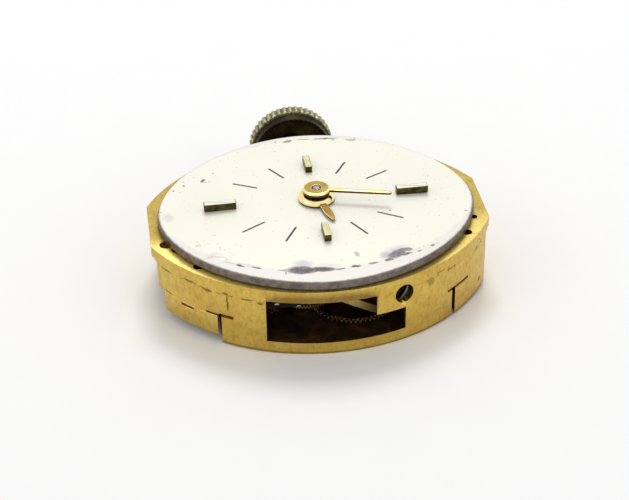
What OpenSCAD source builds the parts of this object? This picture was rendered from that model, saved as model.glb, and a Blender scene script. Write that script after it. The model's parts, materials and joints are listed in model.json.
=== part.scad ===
// Hand-wound wristwatch movement of shaped form, lying on its bridges with the dial up
// Origin on the hand axis in the plane of the bridges, +X to 6 o'clock, +Y to 3 o'clock, +Z to the dial

/* [Main plate] */
// Length between the two flat ends
plate_len = 15.2; // [14.9:0.1:15.8]
// Width across the two long curved sides
plate_wid = 12.78; // [12.7:0.02:13.2]
// Radius of the long curved sides
side_r = 8.47; // [8.3:0.01:9]
// Thickness of the main plate
plate_t = 1.85; // [1.8:0.05:2]
// Thickness of the casing flange on the dial side
flange_t = 0.5; // [0.4:0.05:0.6]
// Step of the flat ends below the casing flange
end_step = 0.22; // [0.1:0.01:0.3]
// Depth of the motion-work recess under the dial
recess_t = 0.48; // [0.45:0.01:0.5]

/* [Bridges] */
// Height of the bridges below the parting line
bridge_h = 1.37; // [1.35:0.01:1.45]
// Inset of the balance cock behind the flat end
cock_inset = 0.22; // [0.15:0.01:0.25]
// Slit between neighbouring bridges
slit_w = 0.16; // [0.1:0.02:0.2]
// Slit position towards 12 o'clock
slit_left = 4.97; // [4.9:0.01:5.05]
// Slit position towards 6 o'clock
slit_right = 5.43; // [5.3:0.01:5.5]
// Height by which the balance cock stays above the resting plane
cock_rise = 0.37; // [0.3:0.01:0.4]
// Thickness of the balance cock
cock_t = 0.43; // [0.38:0.01:0.45]
// Thickness of the train bridge under the window
train_bridge_t = 0.58; // [0.5:0.01:0.6]
// Thickness of the barrel bridge under the barrel
barrel_bridge_t = 0.85; // [0.82:0.01:0.86]
// Depth of the sink for the winding wheels
wind_sink = 0.38; // [0.36:0.01:0.4]

/* [Side window] */
// Window edge towards 12 o'clock
window_left = 3.05; // [2.9:0.05:3.1]
// Window edge towards 6 o'clock below the ledge
window_right = 3; // [2.9:0.05:3.1]
// Window edge towards 6 o'clock above the ledge
window_notch = 1.67; // [1.5:0.01:1.7]
// Underside of the ledge above the resting plane
ledge_bottom = 1.69; // [1.6:0.01:1.75]
// Top of the ledge
ledge_top = 2.08; // [2:0.01:2.2]
// Top edge of the window
window_top = 2.67; // [2.6:0.01:2.7]
// Depth of the pocket behind the window
window_depth = 1.35; // [1.2:0.05:1.5]

/* [Wheel train] */
// Tooth module of the barrel and centre pinion
barrel_mod = 0.0902; // [0.088:0.0002:0.0904]
// Tooth module of the centre wheel and third pinion
centre_mod = 0.0975; // [0.095:0.0005:0.098]
// Tooth module of the third wheel and fourth pinion
third_mod = 0.0655; // [0.064:0.0005:0.0665]
// Tooth module of the fourth wheel and escape pinion
fourth_mod = 0.0428; // [0.042:0.0002:0.0434]
// Radius of the escape wheel
escape_r = 1; // [0.95:0.01:1.02]
// Thickness of the train wheels
wheel_t = 0.12; // [0.1:0.01:0.13]
// Height of the third wheel
third_z = 0.7; // [0.68:0.01:0.7]
// Height of the fourth wheel
fourth_z = 1.4; // [1.38:0.01:1.42]
// Height of the escape wheel
escape_z = 1.75; // [1.72:0.01:1.78]
// Height of the centre wheel
centre_z = 2.42; // [2.41:0.01:2.44]

/* [Balance] */
// Outer radius of the balance rim
balance_r = 2.4; // [2.3:0.01:2.45]
// Height of the underside of the balance rim
balance_z = 0.98; // [0.97:0.01:1]
// Height of the balance rim
rim_h = 0.3; // [0.2:0.01:0.3]
// Radius on which the impulse jewel sits
impulse_r = 0.62; // [0.58:0.01:0.66]
// Outer radius of the hairspring
hairspring_r = 1.5; // [1.3:0.01:1.55]
// Turns of the hairspring
hairspring_turns = 10; // [8:1:12]

/* [Winding and setting] */
// Height of the stem axis above the resting plane
stem_z = 1.6; // [1.58:0.01:1.62]
// Radius of the stem in its bearing
stem_r = 0.4; // [0.35:0.01:0.42]
// Travel of the stem from winding to setting
stem_pull = 0.45; // [0.35:0.01:0.45]
// Centre of the crown wheel on the stem line
crown_wheel_y = 2.6; // [2.55:0.01:2.65]
// Thickness of the winding wheels
wind_wheel_t = 0.26; // [0.22:0.01:0.26]
// Outer radius of the crown
crown_r = 2.1; // [1.6:0.05:2.2]
// Near face of the knurled crown
crown_y = 8.65; // [8.6:0.05:9.2]
// Length of the domed crown
crown_len = 1.3; // [1.2:0.05:1.6]
// Length of its knurled band
crown_band = 0.55; // [0.5:0.05:0.65]
// Notches round the crown
crown_knurls = 44; // [40:2:80]

/* [Dial and hands] */
// Half length of the dial towards 12 and 6
dial_a = 7.22; // [7.1:0.01:7.3]
// Half width of the dial towards 3 and 9
dial_b = 6.37; // [6.3:0.01:6.45]
// Exponent of the dial outline
dial_n = 1.91; // [1.7:0.01:2]
// Radius of the dome of the dial
dome_r = 133; // [120:1:200]
// Thickness of the dial
dial_t = 0.42; // [0.35:0.01:0.45]
// Height of the dial top on the hand axis
dial_top = 3.87; // [3.85:0.01:3.95]
// Length of the minute hand
minute_len = 3.4; // [3.2:0.05:3.5]
// Length of the hour hand
hour_len = 2.35; // [2.1:0.05:2.4]
// Angle of the minute hand from the 6 o'clock direction
minute_angle = -14.4; // [-20:0.1:0]
// Angle of the hour hand from the 6 o'clock direction
hour_angle = -76.2; // [-80:0.1:-70]

/* [Hidden] */
$fn = 64;
// Radial play of a turning pivot, and the gap round a fixed piece
play = 0.015;
seat = 0.01;
// Running gap beside and above a wheel
air = 0.08;
// Heights
split_z = bridge_h;
top_z = bridge_h + plate_t;
recess_z = top_z - recess_t;
wind_z = (wind_sink - wind_wheel_t) * 0.66;
cock_under = cock_rise + cock_t;
drum_z = barrel_bridge_t + 0.1;
drum_top = 2.26;
keyless_z = 2.9;
keyless_t = 0.15;
through = 8;
// Numbers of teeth
barrel_n = 72;
centre_pinion_n = 10;
centre_n = 64;
third_pinion_n = 8;
third_n = 60;
fourth_pinion_n = 8;
fourth_n = 60;
escape_pinion_n = 6;
escape_n = 15;
ratchet_n = 28;
crown_wheel_n = 30;
winding_pinion_n = 18;
cannon_n = 12;
minute_n = 36;
minute_pinion_n = 10;
hour_n = 40;
setting_n = 18;
// Scale of the train where the plate is made smaller
cal = min(1, plate_len / 15.2, side_r / 8.47);
m_barrel = cal * barrel_mod;
m_centre = cal * centre_mod;
m_third = cal * third_mod;
m_fourth = cal * fourth_mod;
r_escape = cal * escape_r;
r_balance = cal * balance_r;
r_impulse = cal * impulse_r;
r_hair = cal * hairspring_r;
// Pivot places, each at its mesh distance from the one before
function at(d, a) = d * [cos(a), sin(a)];
function heading(p, q) = atan2(q[1] - p[1], q[0] - p[0]);
centre = [0, 0];
barrel_dir = 10.6;
barrel = at(m_barrel * (barrel_n + centre_pinion_n) / 2, barrel_dir);
third_dir = -71.5;
third = at(m_centre * (centre_n + third_pinion_n) / 2, third_dir);
fourth_dir = 187;
fourth = third + at(m_third * (third_n + fourth_pinion_n) / 2, fourth_dir);
escape_dir = 190;
escape = fourth + at(m_fourth * (fourth_n + escape_pinion_n) / 2, escape_dir);
lever_dir = 121.5;
pallet = escape + at(r_escape * 1.15, lever_dir);
lever_len = cal * 1.9;
balance = pallet + at(lever_len, lever_dir);
crown_wheel_at = [0, crown_wheel_y];
wind_mod = 2 * norm(barrel - crown_wheel_at) / (ratchet_n + crown_wheel_n);
wind_dir = heading(barrel, crown_wheel_at);
motion_mod = 0.07;
motion_gap = motion_mod * (cannon_n + minute_n) / 2;
hour_mod = 2 * motion_gap / (minute_pinion_n + hour_n);
setting = [0, 2.75];
setting_gap = motion_mod * (setting_n + minute_n) / 2;
minute_y = (motion_gap ^ 2 + setting[1] ^ 2 - setting_gap ^ 2) / (2 * setting[1]);
minute_at = [-sqrt(motion_gap ^ 2 - minute_y ^ 2), minute_y];
// Screws that hold the bridges: place, top of the bridge there, reach into the plate
screw_head_r = 0.42;
screw_head_t = 0.28;
screw_r = 0.22;
screw_end = 2.15;
barrel_screws = [[plate_len / 2 - 1.75, -3.05], [2.95, plate_wid / 2 - 1.39], [-3.6, plate_wid / 2 - 2.09]];
train_screws = [[slit_right - 0.98, -4.05], [0.77 - slit_left, -4.55]];
cock_screws = [[1.7 - plate_len / 2, 2.6]];
// Jewels
jewel_r = 0.26;
jewel_t = 0.18;
// Dial feet and their side screws, mirrored through the hand axis
foot_x = 2.93;
arc_y = side_r - plate_wid / 2;
foot_dir = atan2(-sqrt(side_r ^ 2 - foot_x ^ 2), foot_x);
foot_wall = [0, arc_y] + at(side_r, foot_dir);
foot_at = foot_wall - at(1.1, foot_dir);
foot_r = 0.25;
side_screw_z = 2.41;
side_screw_r = 0.42;
// Stem stations along +Y
winding_pinion_y = 4.62;
winding_pinion_end = 5.2;
winding_pinion_r = wind_mod * winding_pinion_n / 2;
clutch_y = 3.81;
clutch_end = 4.55;
clutch_r = 1.25;
clutch_groove = [4.05, 4.25];
clutch_groove_r = 0.7;
stem_pilot_y = 2.5;
stem_pilot_r = 0.19;
stem_groove = [5.4, 5.7];
stem_groove_r = 0.25;
lever_pin_y = (stem_groove[0] + stem_groove[1]) / 2;
lever_at = [2.1, 4.75];
yoke_at = [-2.35, 3.55];
yoke_pin_y = (clutch_groove[0] + clutch_groove[1]) / 2;
// Hands
post_r = 0.2;
cannon_r = 0.3;
pipe_r = 0.46;
hour_hand_z = dial_top + 0.06;
minute_hand_z = dial_top + 0.38;

// Angle of a tooth of a gear of n2 teeth that meshes at heading d with one of n1 teeth at angle a
function mesh(d, n1, a, n2) = d + 180 - (a - d) * n1 / n2 + 180 / n2;
// Angles of one tooth of each gear at rest
centre_pinion_a = mesh(barrel_dir + 180, barrel_n, 0, centre_pinion_n) ;
third_pinion_a = mesh(third_dir, centre_n, 0, third_pinion_n);
fourth_pinion_a = mesh(fourth_dir, third_n, 0, fourth_pinion_n);
escape_pinion_a = mesh(escape_dir, fourth_n, 0, escape_pinion_n);
crown_wheel_a = mesh(wind_dir, ratchet_n, 0, crown_wheel_n);
minute_a = mesh(heading(centre, minute_at), cannon_n, 0, minute_n);
minute_pinion_a = 0;
hour_a = mesh(heading(minute_at, centre), minute_pinion_n, minute_pinion_a, hour_n);
setting_a = mesh(heading(minute_at, setting), minute_n, minute_a, setting_n);

// Outline of a gear: straight flanks, rounded tips cut short, radial roots
module gear2d(n, mod, a, add = 1.1, ded = 1.35, thick = 0.46) {
    rp = mod * n / 2;
    ra = rp + add * mod;
    rf = rp - ded * mod;
    h = 180 / n * thick;
    polygon([for (i = [0:n - 1]) for (k = [[rf, -1], [rp, -0.96], [ra, -0.4], [ra, 0.4], [rp, 0.96], [rf, 1]])
        at(k[0], a + i * 360 / n + k[1] * h)]);
}

// Crossed-out wheel body: toothed rim, arms and hub
module wheel(n, mod, a, t, arms, hub, bore, rim = 0.32, arm_w = 0.22) {
    inner = mod * n / 2 - rim;
    linear_extrude(t) difference() {
        gear2d(n, mod, a);
        difference() {
            circle(inner);
            circle(hub);
            for (i = [0:arms - 1]) rotate(i * 360 / arms) translate([0, -arm_w / 2]) square([inner + 0.1, arm_w]);
        }
        circle(bore);
    }
}

// Flat bar between two points with round ends of two radii
module link(p, q, rp, rq) {
    d = norm(q - p);
    a = heading(p, q);
    t = acos((rp - rq) / d);
    polygon([p + at(rp, a + t), p + at(rp, a - t), q + at(rq, a - t), q + at(rq, a + t)]);
    translate(p) circle(rp);
    translate(q) circle(rq);
}

// Strip of even thickness that follows a list of points
module strip(pts, w) {
    for (i = [0:len(pts) - 2]) link(pts[i], pts[i + 1], w / 2, w / 2);
}

// Flat spiral blade between two radii
module spiral(r0, r1, turns, w, steps) {
    n = turns * steps;
    function r(i) = r0 + (r1 - r0) * i / n;
    polygon([for (i = [0:n]) at(r(i) - w / 2, i * 360 / steps),
        for (i = [n:-1:0]) at(r(i) + w / 2, i * 360 / steps)]);
}

module post(p, z0, z1, r) {
    translate([p[0], p[1], z0]) cylinder(h = z1 - z0, r = r);
}

module slab(z0, z1) {
    translate([0, 0, z0]) linear_extrude(z1 - z0) children();
}

// Cylinder along +Y on the stem line
module along_stem(y0, y1, r) {
    translate([0, y0, stem_z]) rotate([-90, 0, 0]) cylinder(h = y1 - y0, r = r);
}

// Plan of the movement, with its ends drawn in by a step
module plan(step = 0) {
    intersection() {
        translate([0, arc_y]) circle(side_r, $fn = 180);
        translate([0, -arc_y]) circle(side_r, $fn = 180);
        square([plate_len - 2 * step, 4 * side_r], center = true);
    }
}

module half_plane(x0, x1, y0, y1) {
    translate([x0, y0]) square([x1 - x0, y1 - y0]);
}

// Slotted screw standing on its head at height z, its shank rising into the plate
module screw(p, z, end, head_r = screw_head_r, head_t = screw_head_t, r = screw_r) {
    difference() {
        union() {
            post(p, z, z + head_t, head_r);
            post(p, z + head_t - 0.01, end, r);
        }
        translate([p[0], p[1], z]) cube([2 * head_r + 0.1, 0.12, 0.2], center = true);
    }
}

// Hole and sink for such a screw, from below
module screw_hole(p, z, end, head_r = screw_head_r, head_t = screw_head_t, r = screw_r) {
    post(p, z - 1, z + head_t, head_r + 0.03);
    post(p, z, end, r + seat);
}

// Hole jewel, with its pivot bore and oil cup
module jewel(p, z, bore, r = jewel_r, t = jewel_t) {
    difference() {
        post(p, z, z + t, r);
        post(p, z - 1, z + 1, bore);
        translate([p[0], p[1], z - 0.001]) cylinder(h = 0.06, r1 = r * 0.6, r2 = bore);
    }
}

// Ceiling of the balance sink in the plate, on which the pallet cock is screwed
balance_ceiling = 1.6;
// Areas of the bridges seen from the back
balance_cut = r_balance + 0.28;
barrel_cut = m_barrel * (barrel_n / 2 + 1.1) + air;
module train_area() {
    difference() {
        intersection() {
            plan(end_step);
            half_plane(-slit_left + slit_w / 2, slit_right - slit_w / 2, -through, -2.05);
        }
        translate(balance) circle(balance_cut);
        translate(barrel) circle(barrel_cut + 0.12 + slit_w);
    }
}

module barrel_area() {
    difference() {
        intersection() {
            plan(end_step);
            union() {
                half_plane(-slit_left + slit_w / 2, through, -2.05 + slit_w, through);
                half_plane(slit_right + slit_w / 2, through, -through, 0);
                translate(barrel) circle(barrel_cut + 0.12);
            }
        }
        translate(balance) circle(balance_cut);
    }
}

module cock_foot_area() {
    difference() {
        intersection() {
            plan(end_step + cock_inset);
            half_plane(-through, -slit_left - slit_w / 2, -through, through);
        }
        translate(balance) circle(balance_cut);
    }
}

// Room for the winding pinion, clutch and stem, cut from plate and bridge alike
module stem_room() {
    along_stem(stem_pilot_y - 0.05, clutch_y, stem_pilot_r + play);
    along_stem(winding_pinion_end, 9, stem_r + play);
    translate([-1.42, winding_pinion_y - 0.05, stem_z - 1.4]) cube([2.84, 0.68, 4]);
    translate([-1.32, clutch_y - stem_pull - 0.05, stem_z - 1.3]) cube([2.64, 1.3, 4]);
}

module side_hole(z, r, depth) {
    for (s = [0, 180]) rotate(s) translate([foot_wall[0], foot_wall[1], z])
        rotate([0, 90, foot_dir]) translate([0, 0, -depth]) cylinder(h = depth + 1, r = r);
}

// Cavities of the wheel train, by height
module train_room() {
    post(third, 0.6, window_top, 0.6);
    post(third, 0.6, third_z + wheel_t + air, m_third * 31.1 + air);
    post(fourth, 0.6, fourth_z + wheel_t + 0.1, m_fourth * 31.1 + air);
    post(escape, 0.6, escape_z + wheel_t + air, r_escape + 0.12);
    slab(split_z - 1, escape_z + wheel_t + air) {
        link(pallet, balance, 0.42, 0.9);
        for (s = [-1, 1]) link(pallet, stone(s) + at(0.12, lever_dir), 0.42, 0.36);
    }
}

module window_pocket() {
    inner_y = -plate_wid / 2 + window_depth;
    slab(ledge_top, window_top) half_plane(-window_left, window_notch, -through, inner_y);
    slab(ledge_bottom - 0.01, ledge_top + 0.01)
        polygon([[-window_left, -through], [window_notch, -through], [window_notch, -6.1], [0.9, -5.5],
            [0.35, inner_y], [-window_left, inner_y]]);
    slab(train_bridge_t, ledge_bottom) half_plane(-window_left, window_right, -through, third[1]);
}

module main_plate() color("goldenrod") difference() {
    union() {
        slab(top_z - flange_t, top_z) plan();
        slab(top_z - flange_t - 0.08, top_z - flange_t) plan(end_step * 0.6);
        slab(split_z, top_z - flange_t) plan(end_step);
    }
    // Barrel, centre wheel and balance
    post(barrel, 0, drum_top + air, barrel_cut);
    post(barrel, 0, 2.98, post_r + play);
    post(centre, 0, centre_z + wheel_t + 0.06, m_centre * 33.1 + 0.05);
    post(centre, 0, through, 0.3);
    post(balance, 0, balance_ceiling, balance_cut);
    train_room();
    window_pocket();
    stem_room();
    // Recess under the dial
    slab(recess_z, through) {
        circle(hour_mod * 21.1 + 0.12);
        translate(minute_at) circle(motion_mod * 19.1 + 0.1);
        link(centre, setting, 1.2, motion_mod * 10.1 + 0.12);
        half_plane(-1.6, 1.6, 2.3, 5.2);
        link(yoke_at, [0, yoke_pin_y], 0.8, 0.8);
        link(yoke_at, [-3.35, 1.1], 0.75, 0.5);
        link(yoke_at, yoke_at + [-0.85, -0.4], 0.8, 0.32);
        link(lever_at, [0, lever_pin_y], 0.62, 0.35);
        link(lever_at, [0.25, lever_pin_y + stem_pull], 0.6, 0.24);
        link(lever_at, lever_at + [0.1, -1], 0.62, 0.3);
        link(lever_at, [3.5, 3.1], 0.62, 0.55);
        link([1.2, 3.2], [3.5, 3.1], 0.4, 0.55);
    }
    // Slot that lets the setting lever reach the stem
    translate([-0.3, stem_groove[0] - 0.05, stem_z]) cube([0.85, 0.82, 3]);
    // Jewel seats
    post(third, 0, window_top + 0.2, jewel_r + seat);
    post(fourth, 0, fourth_z + wheel_t + 0.1 + jewel_t, jewel_r + seat);
    post(escape, 0, escape_z + wheel_t + air + jewel_t, jewel_r + seat);
    post(pallet, 0, escape_z + wheel_t + air + jewel_t, jewel_r + seat);
    post(balance, 0, 2.45, jewel_r + 0.06);
    // Screws from the back, dial feet and side screws
    for (p = concat(barrel_screws, train_screws, cock_screws)) post(p, 0, screw_end + 0.1, screw_r + seat);
    for (s = [-1, 1]) post(s * foot_at, 2, through, foot_r + 0.02);
    side_hole(side_screw_z, side_screw_r + 0.03, 0.45);
    side_hole(side_screw_z, 0.2 + seat, 1.5);
    for (p = pallet_cock_feet) post(p, 0, escape_z + 0.45, 0.1 + seat);
    for (p = keyless_screw_places) post(p, recess_z - 0.45, through, 0.14 + seat);
    // Holes and notches that show past the dial
    for (p = [[-6.93, -1.62, 0.3], [-6.5, -2.1, 0.25], [-5.67, -3.55, 0.24], [6.9, -1.6, 0.17], [6.33, -2.8, 0.22]])
        post(p, top_z - 0.55, through, p[2]);
    // Prying slots at the parting line
    pry_slot(0.53 + slit_left, slit_left, split_z - 0.1, split_z + 0.1);
    pry_slot(slit_left + 0.01, slit_left - 0.57, split_z - 0.1, split_z + 0.16);
    pry_slot(0.33 - slit_right, -slit_right - 0.81, split_z - 0.1, split_z + 0.13);
}

// Shallow slot along the near side between two distances from the hand axis towards 12 o'clock
module pry_slot(from, to, z0, z1) slab(z0, z1) difference() {
    half_plane(-from, -to, -through, 0);
    translate([0, arc_y]) circle(side_r - 0.3, $fn = 180);
}

module train_bridge() color("goldenrod") difference() {
    union() {
        slab(0, train_bridge_t) train_area();
        slab(0, split_z) intersection() {
            train_area();
            union() {
                half_plane(-through, -window_left, -through, -3.1);
                half_plane(window_right, through, -through, -2.9);
            }
        }
    }
    post(third, train_bridge_t, split_z + 1, m_third * 31.1 + air);
    post(escape, train_bridge_t, split_z + 1, 0.75);
    for (p = train_screws) screw_hole(p, 0.05, split_z + 1);
    for (p = [third, fourth, escape]) post(p, 0.2, 1, jewel_r + seat);
    for (p = [third, fourth, escape]) post(p, -1, 1, 0.14);
}

module barrel_bridge() color("goldenrod") difference() {
    slab(0, split_z) barrel_area();
    post(barrel, barrel_bridge_t, split_z + 1, barrel_cut);
    post(third, third_z - 0.08, split_z + 1, m_third * 31.1 + air);
    post(barrel, -1, split_z, 0.5 + play);
    post(barrel, -1, wind_sink, wind_mod * (ratchet_n / 2 + 1) + air);
    difference() {
        post(crown_wheel_at, -1, wind_sink, wind_mod * (crown_wheel_n / 2 + 1) + air);
        post(crown_wheel_at, wind_z, 1, 0.5);
    }
    slab(-1, cock_under + 0.06) offset_arm(slit_w);
    post(crown_wheel_at, -1, 0.9, 0.2 + seat);
    stem_room();
    slab(-1, wind_sink) {
        link(click_at, barrel, 0.5, 0.5);
        link(click_at, beak_tip, 0.5, 0.4);
        link(click_at, click_spring_at, 0.5, 0.36);
    }
    for (p = click_screw_places) post(p, -1, 0.85, 0.12 + seat);
    for (p = barrel_screws) screw_hole(p, 0.05, split_z + 1);
    post(centre, 0.2, split_z + 1, jewel_r + seat);
    post(centre, -1, 1, 0.16);
}

// Arm of the balance cock, grown all round by a gap
module offset_arm(gap) {
    link(cock_screws[0], balance, 0.9 + gap, 0.8 + gap);
    link([1.3 - plate_len / 2, 1.2], balance, 0.7 + gap, 0.8 + gap);
}

module balance_cock() color("goldenrod") difference() {
    union() {
        slab(cock_rise, split_z) cock_foot_area();
        slab(cock_rise, cock_under) offset_arm(0);
    }
    screw_hole(cock_screws[0], cock_rise + 0.04, split_z + 1);
    post(balance, cock_rise - 1, split_z, jewel_r + seat + 0.1);
    post(stud_at, 0, 1, 0.1 + seat);
    pry_slot(slit_left + 1.53, slit_left + 1.03, split_z - 0.19, split_z - 0.08);
}

// Pallet cock, below the lever, with its jewel and two screws
pallet_cock_t = 0.15;
pallet_cock_z = balance_ceiling - pallet_cock_t;
pallet_cock_feet = [pallet + at(0.9, lever_dir - 65), pallet + at(0.9, lever_dir + 65)];
module pallet_cock() color("goldenrod") difference() {
    slab(pallet_cock_z, balance_ceiling) {
        link(pallet_cock_feet[0], pallet, 0.22, 0.3);
        link(pallet_cock_feet[1], pallet, 0.22, 0.3);
    }
    post(pallet, 0, 3, 0.17 + seat);
    for (p = pallet_cock_feet) post(p, 0, 3, 0.1 + seat);
}

module pallet_cock_screws() color("lightsteelblue")
    for (p = pallet_cock_feet) screw(p, pallet_cock_z - 0.1, escape_z + 0.4, 0.16, 0.1, 0.1);

module bridge_screws() color("lightsteelblue") {
    for (p = concat(barrel_screws, train_screws)) screw(p, 0.05, screw_end);
    for (p = cock_screws) screw(p, cock_rise + 0.04, screw_end);
}

module plate_jewels() color("crimson") {
    jewel(third, window_top, 0.06 + play);
    jewel(fourth, fourth_z + wheel_t + 0.1, 0.05 + play);
    jewel(escape, escape_z + wheel_t + air, 0.05 + play);
    jewel(pallet, escape_z + wheel_t + air, 0.05 + play);
    jewel(balance, 2, 0.05 + play, jewel_r + 0.05);
}

module bridge_jewels() color("crimson") {
    for (p = [third, fourth, escape]) mirror([0, 0, 1]) jewel(p, -0.2 - jewel_t - 0.1, 0.05 + play);
    mirror([0, 0, 1]) jewel(centre, -0.2 - jewel_t - 0.1, 0.1 + play);
    mirror([0, 0, 1]) jewel(balance, -cock_under + 0.02, 0.05 + play, jewel_r + 0.09);
    mirror([0, 0, 1]) jewel(pallet, -balance_ceiling, 0.05 + play, 0.17, 0.13);
}

module balance_cap_jewels() color("crimson") {
    post(balance, cock_rise + 0.01, cock_under - 0.02 - jewel_t - 0.02, jewel_r + 0.09);
    post(balance, 2.2, 2.34, jewel_r + 0.05);
}

// Regulator: a ring round the cap jewel, with its pointer and curb pins
regulator_dir = 215;
stud_at = balance + at(r_hair + 0.08, 130);
module regulator() color("silver") {
    slab(cock_rise - 0.15, cock_rise - 0.02) difference() {
        union() {
            translate(balance) circle(0.55);
            link(balance, balance + at(1.7, regulator_dir), 0.3, 0.08);
            link(balance, balance + at(r_hair, regulator_dir + 145), 0.25, 0.12);
        }
        translate(balance) circle(0.36);
    }
    for (s = [-1, 1]) post(balance + at(r_hair + s * 0.07, regulator_dir + 145), cock_rise - 0.03, 0.93, 0.03);
}

module hairspring_stud() color("silver") difference() {
    post(stud_at, cock_rise + 0.02, 0.94, 0.1);
    translate([stud_at[0], stud_at[1], 0.9]) rotate(40) cube([0.04, 0.3, 0.2], center = true);
}

module crown_wheel() color("silver") translate([crown_wheel_at[0], crown_wheel_at[1], wind_z])
    linear_extrude(wind_wheel_t) difference() {
        gear2d(crown_wheel_n, wind_mod, crown_wheel_a, 0.8, 0.9, 0.44);
        circle(0.5 + play);
    }

module crown_wheel_screw() color("lightsteelblue") screw(crown_wheel_at, 0.02, 0.85, 0.8, wind_z - 0.02, 0.2);

module ratchet_wheel() color("silver") translate([barrel[0], barrel[1], wind_z])
    linear_extrude(wind_wheel_t) difference() {
        gear2d(ratchet_n, wind_mod, 0, 0.8, 0.9, 0.44);
        square(0.56 + 2 * play, center = true);
    }

module ratchet_screw() color("lightsteelblue") screw(barrel, 0.02, 0.7, 0.6, wind_z - 0.02, 0.16);

// Click with its beak in the ratchet teeth, its spring and the screws of both
click_at = barrel + at(wind_mod * ratchet_n / 2 + 0.62, 226);
click_spring_at = click_at + [-1.3, 0.1];
click_screw_places = [click_at, click_spring_at];
click_tooth = 16;
beak_tip = barrel + at(wind_mod * (ratchet_n / 2 - 0.4), (click_tooth + 0.5) * 360 / ratchet_n);
module click() color("silver") slab(wind_z, wind_z + 0.2) difference() {
    union() {
        translate(click_at) circle(0.32);
        link(click_at, click_at + at(0.4, 200), 0.2, 0.12);
        link(click_at + at(0.12, 100), beak_tip + at(0.08, 225), 0.14, 0.05);
    }
    translate(click_at) circle(0.12 + play);
}

module click_spring() color("lightsteelblue") slab(wind_z + 0.02, wind_z + 0.16) difference() {
    union() {
        translate(click_spring_at) circle(0.3);
        strip([click_spring_at + [0, -0.2], click_spring_at + [0.5, -0.38], click_at + [-0.36, -0.32]], 0.08);
    }
    translate(click_spring_at) circle(0.12 + seat);
}

module click_screws() color("lightsteelblue") {
    screw(click_at, wind_z - 0.05, 0.75, 0.24, 0.05, 0.12);
    screw(click_spring_at, wind_z - 0.05, 0.75, 0.24, 0.06, 0.12);
}

// Mainspring barrel: toothed drum open below, snap-in cover, arbor and spring
drum_wall = 0.18;
drum_r = m_barrel * (barrel_n / 2 - 1.35) - 0.02;
tooth_z = 1.98;
module barrel_drum() color("darkgoldenrod") translate([barrel[0], barrel[1], 0]) difference() {
    union() {
        translate([0, 0, drum_z]) cylinder(h = drum_top - drum_z, r = drum_r);
        translate([0, 0, tooth_z]) linear_extrude(drum_top - 0.04 - tooth_z) gear2d(barrel_n, m_barrel, 0);
    }
    translate([0, 0, drum_z - 1]) cylinder(h = 1 + drum_top - drum_z - 0.14, r = drum_r - drum_wall);
    cylinder(h = 9, r = post_r + play);
}

module barrel_cover() color("darkgoldenrod") difference() {
    post(barrel, drum_z, drum_z + 0.13, drum_r - drum_wall - seat);
    post(barrel, 0, 9, 0.42 + play);
}

module barrel_arbor() color("lightsteelblue") difference() {
    union() {
        post(barrel, wind_sink + 0.03, drum_z + 0.16, 0.42);
        post(barrel, drum_z + 0.15, drum_top - 0.16, 0.62);
        post(barrel, drum_top - 0.17, 2.94, post_r);
        slab(wind_z + 0.005, wind_sink + 0.04) translate(barrel) square(0.56, center = true);
        slab(1.4, 1.7) translate(barrel + at(0.62, 0)) circle(0.08);
    }
    post(barrel, -1, 0.75, 0.16 + seat);
}

module mainspring() color("lightsteelblue") translate([barrel[0], barrel[1], drum_z + 0.17])
    linear_extrude(drum_top - 0.19 - drum_z - 0.17) spiral(0.8, drum_r - drum_wall - 0.07, 9, 0.08, 24);

// Centre wheel and its pinion, whose arbor carries the minute hand
centre_pinion_z = 1.9;
module centre_wheel() color("gold") translate([0, 0, centre_z])
    wheel(centre_n, m_centre, 0, wheel_t, 5, 0.62, 0.36 + seat, 0.4, 0.3);

module centre_pinion() color("lightsteelblue") {
    slab(centre_pinion_z, centre_z - 0.005) gear2d(centre_pinion_n, m_barrel, centre_pinion_a, 0.7, 1.5, 0.4);
    post(centre, 0.3, 0.52, 0.1);
    post(centre, 0.5, centre_pinion_z + 0.01, 0.24);
    post(centre, centre_z - 0.01, centre_z + wheel_t, 0.36);
    post(centre, centre_z, 2.72, 0.25);
    post(centre, 2.7, minute_hand_z + 0.27, post_r);
}

// Third, fourth and escape arbors run between a bridge jewel and a plate jewel
module arbor(p, z0, z1, r) {
    post(p, 0.34, 0.52, 0.05);
    post(p, 0.5, z1 - 0.1, r);
    post(p, z1 - 0.11, z1 + 0.12, 0.05);
}

module third_wheel() color("gold") translate([third[0], third[1], third_z])
    wheel(third_n, m_third, 0, wheel_t, 4, 0.36, 0.12 + seat, 0.26, 0.2);

module third_pinion() color("lightsteelblue") {
    translate([third[0], third[1], centre_z - 0.09]) linear_extrude(wheel_t + 0.12)
        gear2d(third_pinion_n, m_centre, third_pinion_a, 0.7, 1.5, 0.4);
    arbor(third, 0, window_top + 0.02, 0.12);
}

module fourth_wheel() color("gold") translate([fourth[0], fourth[1], fourth_z])
    wheel(fourth_n, m_fourth, 0, wheel_t, 4, 0.3, 0.11 + seat, 0.22, 0.16);

module fourth_pinion() color("lightsteelblue") {
    translate([fourth[0], fourth[1], third_z - 0.06]) linear_extrude(wheel_t + 0.14)
        gear2d(fourth_pinion_n, m_third, fourth_pinion_a, 0.7, 1.4, 0.4);
    arbor(fourth, 0, fourth_z + wheel_t + 0.12, 0.11);
}

// Escape wheel of club teeth
module escape_wheel() color("silver") translate([escape[0], escape[1], escape_z]) linear_extrude(wheel_t)
    difference() {
        polygon([for (i = [0:escape_n - 1]) for (k = [[0.74, 0], [0.93, 3.5], [1, 2], [0.97, 7.5], [0.9, 6.5], [0.74, 14]])
            at(r_escape * k[0], (i * 360 / escape_n) + k[1] + escape_a)]);
        difference() {
            circle(r_escape * 0.62);
            circle(0.2);
            for (i = [0:3]) rotate(i * 90) translate([0, -0.05]) square([r_escape * 0.7, 0.1]);
        }
        circle(0.08 + seat);
    }

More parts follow.
